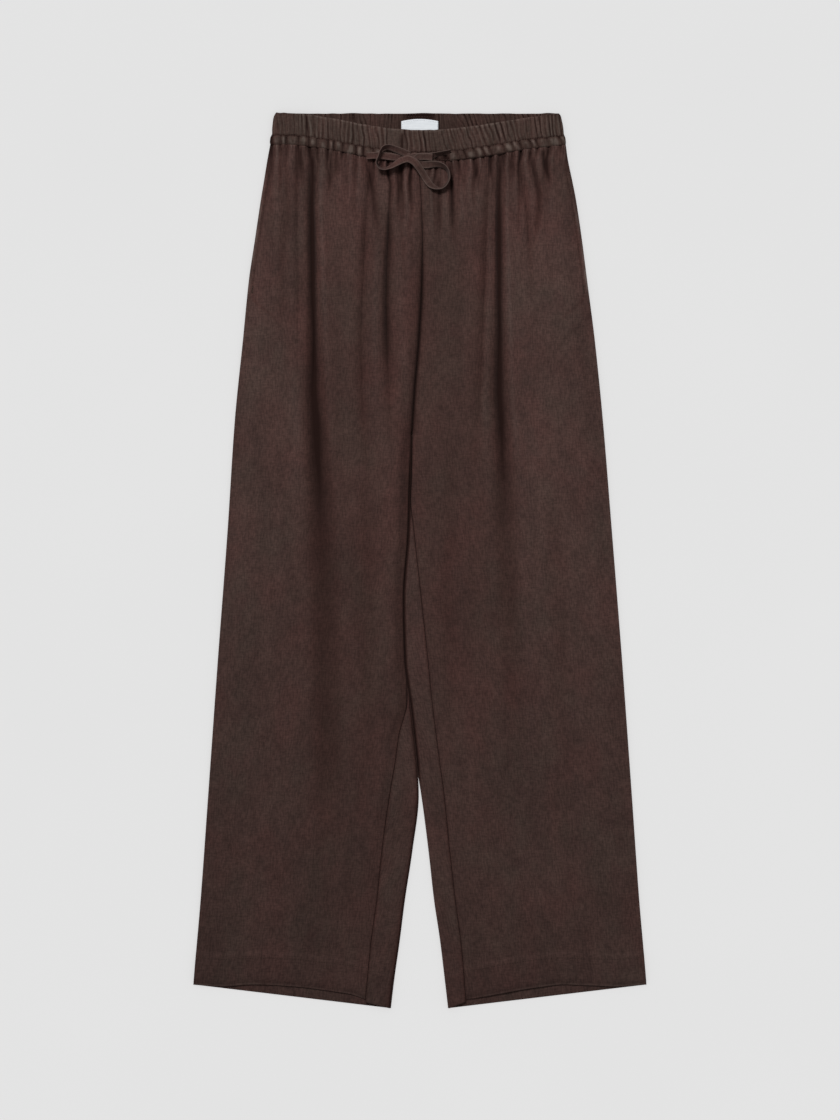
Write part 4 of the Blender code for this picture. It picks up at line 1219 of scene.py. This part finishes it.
def tunnelRelief(across, offset, sway, pillow, number, nearest):
    # The drawstring's tunnel: a tube, sin^0.75 of its height, drawn into pillows with painted shade
    # between them and a painted highlight on their crowns. They are flatter under the bow, and a patch
    # beside it, where the tape goes in, has painted shadow under the tape.
    tube = np.sin(pi * np.clip((offset - band["casing"]) / (band["height"] - band["casing"]), 0, 1))
    underBow = 1 - 0.75 * ease((bandCloth["bowReach"] - np.abs(across - bandCloth["bow"])) / 12)
    hollow = 0.75 + 0.2 * (1 - underBow)
    wrinkle = 0.35 * softNoise(across, offset, 5, 9, 91) + 0.2 * softNoise(across, offset, 2.6, 5, 92)
    depth = bandCloth["tunnelRelief"] * uneven(nearest, 0.3, 9)
    relief = tube ** 0.75 * (0.3 + 0.6 * underBow + depth * (pillow ** 0.6 - hollow) + wrinkle)
    crown = pillow ** 6 * bell(offset - 31.6 - 5 * sway, 4.2) * uneven(number, 0.8, 12) * underBow
    crown = crown * (1.3 + 0.3 * np.sin(across / 1.3 + 3 * sway))
    crown = crown * (0.6 + 0.9 * softNoise(across, offset, 3.6, 4.5, 99))
    crown = crown * (1.0 + 0.8 * ease((-45 - across) / 50) + 0.6 * ease((across - 50) / 40))
    crown = bandCloth["crownLight"] * np.tanh(crown / bandCloth["crownLight"])
    ends = 1 - tube
    crease = uneven(nearest, 0.45, 10) * (1 - pillow) ** 2 * (0.7 + 0.5 * ends) + 0.3 * ends ** 2
    tapeShadow = ease((across - bandCloth["tapeShadowFrom"]) / 2) * ease((bandCloth["tapeShadowTo"] - across) / 2)
    tapeShadow = tapeShadow * (0.75 + 0.3 * softNoise(across, offset, 2.2, 2.2, 98)) * ease((offset - 27) / 2)
    return relief, crease - 0.5 * wrinkle - crown + 0.15 * pillow + tapeShadow


def frontRelief(across, offset):
    # casing above and tunnel below, with an uneven seam between them and another at the lower edge,
    # both with painted shade
    seam, low = band["casing"], band["height"]
    sway = 0.5 * waver(across, 11, 94) + 0.35 * waver(across, 3.1, 95)
    slant = 0.18 + 0.25 * ease((across - 10) / 60)
    pillow, number, nearest = pillows(across - slant * (offset - 32.3) * (across > -60), puckers)
    casing, casingCrease, longFold = casingRelief(across, offset)
    tunnel, tunnelCrease = tunnelRelief(across, offset, sway, pillow, number, nearest)
    pulls = np.maximum(0.1 + 0.9 * threadPulls(across, 97) ** 1.5, (1 - pillow) ** 2)
    seamLine = bell(offset - (seam + sway - 1.1 * (pillow - 0.5)), 1.0)
    seamLine = seamLine * (0.9 + 0.5 * softNoise(across, offset, 5, 40, 93))
    lowerEdge = bell(offset - low + 0.4 * np.abs(sway), 1.4)
    relief = np.where(offset < seam, casing, tunnel) - bandCloth["seamGroove"] * seamLine - 0.35 * lowerEdge
    crease = np.where(offset < seam, casingCrease, tunnelCrease) + 0.9 * longFold
    crease = crease + bandCloth["seamLineShade"] * seamLine * (0.4 + 0.6 * pulls)
    return relief, crease + 0.2 * lowerEdge * pulls


def backRelief(across, offset):
    # The inner face that shows above the front: the same gathers, calm behind the label, with a row
    # of stitches below the top edge. It has painted shade above the label, in its folds and gathers,
    # along the row of stitches and the top edge, and a little more the further down it goes.
    label = bell(np.maximum(np.abs(across) - 17, 0), 3) * ease((offset - 1) / 4)
    shade = np.exp(-((across - 0.5) / 15) ** 4) * ease((9 - offset) / 4)
    gathers, crease = casingGathers(across, offset, 81)
    fold = np.exp(-np.abs(across - bandCloth["backFold"]) / 1.0) * ease((12 - offset) / 6)
    row = bell(offset - bandCloth["stitchRow"], 0.8)
    relief = bandCloth["backRelief"] * gathers * (1 - label) - 0.9 * fold - 1.1 * label - 0.3 * row
    inside = 0.1 + 0.25 * np.clip(offset / 12, 0, 1) + 0.55 * np.exp(-offset / 1.5)
    return relief, 0.8 * crease * (1 - label) + fold + 0.3 * label + 1.1 * shade + 0.15 * row + inside


def backUnderRelief(across, offset):
    # gathers of the back's outer face, which lies on the floor
    gathers, _ = casingGathers(across, offset, 71)
    return np.clip(0.6 * gathers + 0.25, 0, 0.7)


def roundedEnd(distance, radius):
    # quarter circle: 0 at an edge and 1 from one radius inside it
    inside = np.clip(distance / radius, 0, 1)
    return np.sqrt(1 - (1 - inside) ** 2)


def makeBand(name, low, high, relief, underRelief, squashTo, drop, bumps):
    # A flattened tube of cloth between the heights "low" and "high". Each ring goes up its top face
    # and down its under face; thickness closes to nothing over a quarter circle at both long edges
    # and at the side folds, which lie at the height "squashTo".
    share = shares(bandCloth["columns"], [(0.0, 2, 0.01), (1.0, 2, 0.01)])[:, None]
    seam = (band["casing"] / band["height"], 2, 0.05)
    face = band["height"] * shares(bandCloth["faceRows"], [(0.0, 4, 0.05), seam, (1.0, 4, 0.05)])
    offset = np.concatenate([face[::-1], face[1:-1]])[None, :]
    isTop = (np.arange(offset.size) < len(face))[None, :]
    rightEnd = read(bandEnds, "right", offset)
    leftEnd = read(bandEnds, "left", offset)
    across = rightEnd + (leftEnd - rightEnd) * share
    fromEnd = np.minimum(across - rightEnd, leftEnd - across)
    closing = roundedEnd(offset, bandCloth["topEdge"])
    closing = closing * roundedEnd(band["height"] - offset, bandCloth["lowEdge"])
    closing = closing * roundedEnd(fromEnd, bandCloth["sideEdge"])
    calm = ease(fromEnd / 6)
    bottom, top = low(across), high(across, offset)
    middle = (top + bottom) / 2
    middle = middle + (squashTo - middle) * (1 - ease(fromEnd / 5)) * 0.6
    gathers, crease = relief(across, offset)
    upper = middle + (top - bottom) / 2 * closing + gathers * closing * calm
    lower = middle - (top - bottom) / 2 * closing + underRelief(across, offset) * closing * calm
    return gridObject(name, clothGrid(
        across, offset + drop(across) + bumps(across, offset), np.where(isTop, upper, lower),
        across * bandCloth["gathered"], np.where(isTop, offset, -offset - 10), crease * isTop,
    ), bandLinen, closed=True)


def level(across, offset=0):
    # no height or shift anywhere
    return 0 * across


def frontBandTop(across, offset):
    # the band's cloth, a little thinner at its seams
    seam, low, thick = band["casing"], band["height"], band["cloth"]
    places = [0, 7, seam - 2, seam, seam + 2, low - 2, low]
    thin = thick - 0.2
    return bandBase(across) + np.interp(offset, places, [thin, thick, thick, thin, thick, thick, thin])


def frontEdgeBumps(across, offset):
    # how far the front band's edges wander: its top one a little, its lower one with the pillows
    top = 0.35 * waver(across, 4.5, 55) + 0.3 * waver(across, 17, 56)
    low = 0.9 * (pillows(across, puckers)[0] - 0.6) + 0.25 * waver(across, 3.2, 58)
    return top * np.exp(-offset / 5) + low * np.exp(-(band["height"] - offset) / 3)


def backEdgeBumps(across, offset):
    # how far the back band's top edge wanders, with three places where it stands higher
    bumps = 0.3 * waver(across, 9, 57) + 0.8
    for place, reach in ((-78, 9), (4, 12), (151, 8)):
        bumps = bumps - 0.6 * bell(across - place, reach)
    return bumps * np.exp(-offset / 5)


frontBand = makeBand(
    "waistbandFrontCloth", bandBase, frontBandTop, frontRelief, level, 3.2, droop, frontEdgeBumps,
)
backBand = makeBand(
    "waistbandBackCloth", level, lambda across, offset: level(across) + band["cloth"], backRelief,
    backUnderRelief, 2.0, level, backEdgeBumps,
)
print("waistband made")

labelSizes = {
    "middle": 0.4,
    "halfWidth": 21.7,
    "top": 7.4,         # in the middle; its corners are lower by "bow"
    "bow": 2.6,
    "bottom": 33.8,
    "cloth": 0.8,
    "base": 2.7,        # height of its underside
}


def makeLabel():
    # A bare satin label with a bowed top edge. It ripples slightly where it is sewn on.
    x = np.linspace(-1, 1, 60)[None, :]
    t = np.linspace(0, 1, 40)[:, None]
    across = labelSizes["middle"] + labelSizes["halfWidth"] * x + 0 * t
    top = labelSizes["top"] + labelSizes["bow"] * x ** 2
    down = top + (labelSizes["bottom"] - top) * t
    ripple = 0.12 * softNoise(across, down, 9, 6, 21) + 0.05 * softNoise(across, down, 3, 3, 22)
    edge = roundedEnd((1 - np.abs(x)) * labelSizes["halfWidth"], 0.5)
    lower = labelSizes["base"] + 0 * down
    upper = lower + labelSizes["cloth"] * (0.3 + 0.7 * edge) + ripple * edge
    faces = (clothGrid(across, down, height, across, down) for height in (upper, lower))
    return closedSheet("labelCloth", *faces, labelMaterial)


labelPiece = makeLabel()

bagLayers = {
    "height": 1.9,      # where the two layers meet at their edges, "apart" from each other
    "apart": 0.05,
    "under": 0.4,       # how far each bulges away from the other
    "over": 0.45,
}


def makeBag(side):
    # two thin layers of linen between the front and the back, closing at their edges
    down = np.linspace(*bag["down"][[0, -1]], 90)[:, None]
    x = np.linspace(0, 1, 50)[None, ::-side]
    near = read(bag, "near", down)
    far = read(bag, "far", down)
    across = sideLine(side, down) - side * (near + (far - near) * x)
    closing = roundedEnd(np.minimum(x, 1 - x) * (far - near), 0.5)
    lower = bagLayers["height"] - bagLayers["under"] * closing
    bulge = bagLayers["over"] + 0.01 * softNoise(across, down, 20, 30, 25)
    upper = bagLayers["height"] + bagLayers["apart"] + bulge * closing
    faces = (clothGrid(across, down, height, across, down) for height in (upper, lower))
    return closedSheet("pocketBag" + legName(side).title() + "Cloth", *faces, panelLinen)


bags = {side: makeBag(side) for side in (-1, 1)}
print("label and pocket bags made")

thread = {
    "length": 2.3,
    "pitch": 3.1,
    "radius": 0.27,
    "sink": 0.5,            # how deep both ends of a stitch pull into the cloth
    "sides": 6,
    "besideSeam": 1.6,      # rows on both sides of the band's seam, above its lower edge,
    "aboveEdge": 2.2,
    "inHem": 2.0,           # inside the top of the hem,
    "inLabel": 1.3,         # and inside the label's edge
    "labelPitch": 2.6,
    "tackPitch": 4.9,
    "tackStep": 0.7,
}


def alongRow(across, down, pitch):
    # the two ends of stitches a pitch apart along a row, in millimetres
    row = np.stack(np.broadcast_arrays(across, bandTop - down), axis=1).astype(float)
    known = lengthAlong(row)
    starts = np.arange(pitch / 2, known[-1] - thread["length"], pitch)
    at = np.stack([starts, starts + min(thread["length"], 0.9 * pitch)])
    return np.stack([np.interp(at, known, row[:, 0]), np.interp(at, known, row[:, 1])], axis=-1)


def onCloth(piece, ends, below=False):
    # adds the height of the cloth's top or under face at each end, and drops ends beside the cloth
    rise = -1 if below else 1
    heights = []
    for x, y in ends.reshape(-1, 2) * mm:
        hit, place, _, _ = piece.ray_cast((x, y, 0.1 * rise), (0, 0, -rise))
        heights.append(place.z / mm if hit else np.nan)
    placed = np.concatenate([ends, np.reshape(heights, (*ends.shape[:2], 1))], axis=-1)
    return placed[:, ~np.isnan(placed[..., 2]).any(axis=0)]


def makeStitches(name, rows, material):
    # Each stitch is a thin capsule from end to end of its place. It arches above the cloth in the
    # middle and pulls into it at both ends: radius · 0.5 - sink · u^4 with u from -1 to 1.
    ends = np.concatenate([onCloth(*row) for row in rows], axis=1)
    start, finish = ends[0][:, None, None, :], ends[1][:, None, None, :]
    u = np.array([-1, -0.8, 0, 0.8, 1])[None, :, None]
    thick = thread["radius"] * np.array([0.1, 0.8, 1, 0.8, 0.1])[None, :, None]
    angle = np.linspace(0, 2 * pi, thread["sides"], endpoint=False)[None, None, :]
    direction = unit((finish - start)[..., :2])
    points = (start * (1 - u[..., None]) + finish * (1 + u[..., None])) / 2
    points = np.repeat(points, thread["sides"], axis=2)
    points[..., 0] -= thick * np.cos(angle) * direction[..., 1]
    points[..., 1] += thick * np.cos(angle) * direction[..., 0]
    up = np.where(start[..., 2] < 0.5, -1, 1)
    points[..., 2] += thick * np.sin(angle) + up * (0.5 * thread["radius"] - thread["sink"] * u ** 4)
    faces = quads(u.size, thread["sides"], closed=True)
    faces = faces[None] + u.size * thread["sides"] * np.arange(len(points))[:, None, None]
    return meshObject(name, points.reshape(-1, 3), faces.reshape(-1, 4), material)


def stitchRows():
    # rows of stitches as (cloth, ends, from below): the waistband's seams, its top edge, the pocket
    # mouths with a tack at their lower end, and the hems
    pitch = thread["pitch"]
    seam = band["casing"]
    across = np.arange(-168.0, 166.0, 2)
    rows = []
    lowest = band["height"] - thread["aboveEdge"]
    for offset in (seam - thread["besideSeam"], seam + thread["besideSeam"], lowest):
        rows.append((frontBand, alongRow(across, offset + droop(across), pitch)))
        rows.append((backBand, alongRow(across, offset + 0 * across, pitch), True))
    shown = across[droop(across) > bandCloth["shownFrom"]]
    rows.append((backBand, alongRow(shown, bandCloth["stitchRow"] + 0 * shown, pitch)))
    for side in (-1, 1):
        down = np.arange(pocketMouth["top"] + 6, pocketMouth["bottom"] - 2, 2)
        beside = sideLine(side, down) - side * pocketMouth["stitches"]
        rows.append((fronts[side], alongRow(beside, down, pitch)))
        for down in pocketMouth["tackTop"] + np.arange(0.0, pocketMouth["tackLength"], thread["tackStep"]):
            edge = sideLine(side, down) - side * np.array(pocketMouth["tack"])
            rows.append((fronts[side], alongRow(edge, np.full(2, down), thread["tackPitch"])))
        share = np.linspace(0.01, 0.99, 90)
        width = trousers["sideAtHem"] - trousers["foldAtHem"] - 6
        hemAcross = side * (trousers["sideAtHem"] - 3 - width * share)
        hemTop = hemLine(hemAcross) - trousers["hemDepth"] + thread["inHem"]
        rise = read(hemRise, legName(side), share)
        rows.append((fronts[side], alongRow(hemAcross, hemTop - rise, pitch)))
        rows.append((backs[side], alongRow(hemAcross, hemTop, pitch), True))
        fold, seamAt = (float(innerLine(kind, side, 1012.0)) for kind in ("Fold", "Seam"))
        strip = np.linspace(fold + 2 * side, seamAt - side, 12)
        down = hemLine(strip) - rise[-1] - trousers["hemDepth"] + thread["inHem"]
        rows.append((backs[side], alongRow(strip, down, pitch)))
    return rows


def labelRows():
    # a row of stitches round the label, close to its edge
    inset, pitch = thread["inLabel"], thread["labelPitch"]
    corner = np.linspace(-1, 1, 12)
    across = labelSizes["middle"] + (labelSizes["halfWidth"] - inset) * corner
    top = labelSizes["top"] + inset + labelSizes["bow"] * corner ** 2
    bottom = labelSizes["bottom"] - inset
    rows = [(across, top), (across, np.full(12, bottom))]
    rows += [(np.full(2, edge), np.array([top[0], bottom])) for edge in across[[0, -1]]]
    return [(labelPiece, alongRow(*row, pitch)) for row in rows]


bpy.context.view_layer.update()
stitches = makeStitches("stitches", stitchRows(), threadMaterial)
labelStitches = makeStitches("labelStitches", labelRows(), labelThread)
corners = len(stitches.data.vertices) + len(labelStitches.data.vertices)
print("stitches made:", corners // (5 * thread["sides"]))

studio = {
    "floorHeight": -0.3,
    "floorReach": 6000.0,
    "sky": 0.27,         # strength of the light from all round, and of the floor's own sun
    "floorSun": 2.17,
    # the lamp over the cloth beyond the waistband: its place, the place it faces, its size, its watts
    # and how far its light spreads in degrees, as through a grid of slats
    "lampPlace": (-850, 2350, 2500),
    "lampFaces": (150, 250, 0),
    "lampSize": 900.0,
    "lampWatts": 8.9,
    "lampSpread": 50.0,
}


def makeFloor():
    # a pale matt floor with the faintest unevenness, like painted board
    material, shader = newMaterial("paintedBoard")
    place = addNode(material, "TexCoord").outputs["Object"]
    noise = addNode(material, "TexNoise", {"Scale": 3.0, "Detail": 2.0}, {"Vector": place})
    shade = addNode(
        material, "Mix", {6: linear("#e6e6e6"), 7: linear("#e9e9e9")}, {"Factor": noise},
        data_type="RGBA",
    )
    feed(material, shader, {"Roughness": 0.9, "Specular IOR Level": 0.1}, {"Base Color": shade.outputs[2]})
    corners = np.array([[-1, -1, 0], [1, -1, 0], [1, 1, 0], [-1, 1, 0]]) * studio["floorReach"]
    corners[:, 2] = studio["floorHeight"]
    floor = meshObject("floor", corners, np.array([[0, 1, 2, 3]]), material)
    return floor


def makeLamp(name, kind, watts, pieces):
    # a lamp that the camera doesn't see, for the given pieces alone
    data = bpy.data.lights.new(name, kind)
    data.energy = watts
    lamp = bpy.data.objects.new(name, data)
    lamp.visible_camera = False
    bpy.context.scene.collection.objects.link(lamp)
    lit = bpy.data.collections.new(name + "Lights")
    for piece in pieces:
        lit.objects.link(piece)
    lamp.light_linking.receiver_collection = lit
    return lamp, data, lit


def lightStudio(floor, pieces):
    # Even light from all round, one broad low lamp beyond the waistband that shades the folds of the
    # cloth, and a sun straight above that keeps the floor an even pale grey with no shadow on it.
    world = bpy.data.worlds.new("studio")
    world.use_nodes = True
    background = world.node_tree.nodes["Background"]
    background.inputs["Color"].default_value = (1, 1, 1, 1)
    background.inputs["Strength"].default_value = studio["sky"]
    bpy.context.scene.world = world
    place, target = Vector(studio["lampPlace"]), Vector(studio["lampFaces"])
    lamp, data, _ = makeLamp("softBox", "AREA", studio["lampWatts"], pieces)
    data.shape = "SQUARE"
    data.size = studio["lampSize"] * mm
    data.spread = radians(studio["lampSpread"])
    lamp.location = place * mm
    lamp.rotation_euler = (target - place).to_track_quat("-Z", "Y").to_euler()
    lamp, _, lit = makeLamp("floorLamp", "SUN", studio["floorSun"], [floor])
    lamp.light_linking.blocker_collection = lit


everyPiece = [loops, freeEnd, knotPiece, *fronts.values(), *backs.values(), frontBand, backBand, labelPiece]
everyPiece += [*bags.values(), stitches, labelStitches]
lightStudio(makeFloor(), everyPiece)
print("floor and lamps placed")
bpy.context.scene.view_settings.view_transform = "Standard"

for piece in everyPiece:
    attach(piece, "root")

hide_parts("drawstring_loops", "drawstring_end_right")
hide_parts("drawstring_exit", "drawstring_end_left")
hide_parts("drawstring_knot")
for side in (-1, 1):
    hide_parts("front_" + legName(side))
    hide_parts("back_" + legName(side))
    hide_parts("pocket_bag_" + legName(side))
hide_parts("waistband_front")
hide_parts("waistband_back")
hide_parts("label")
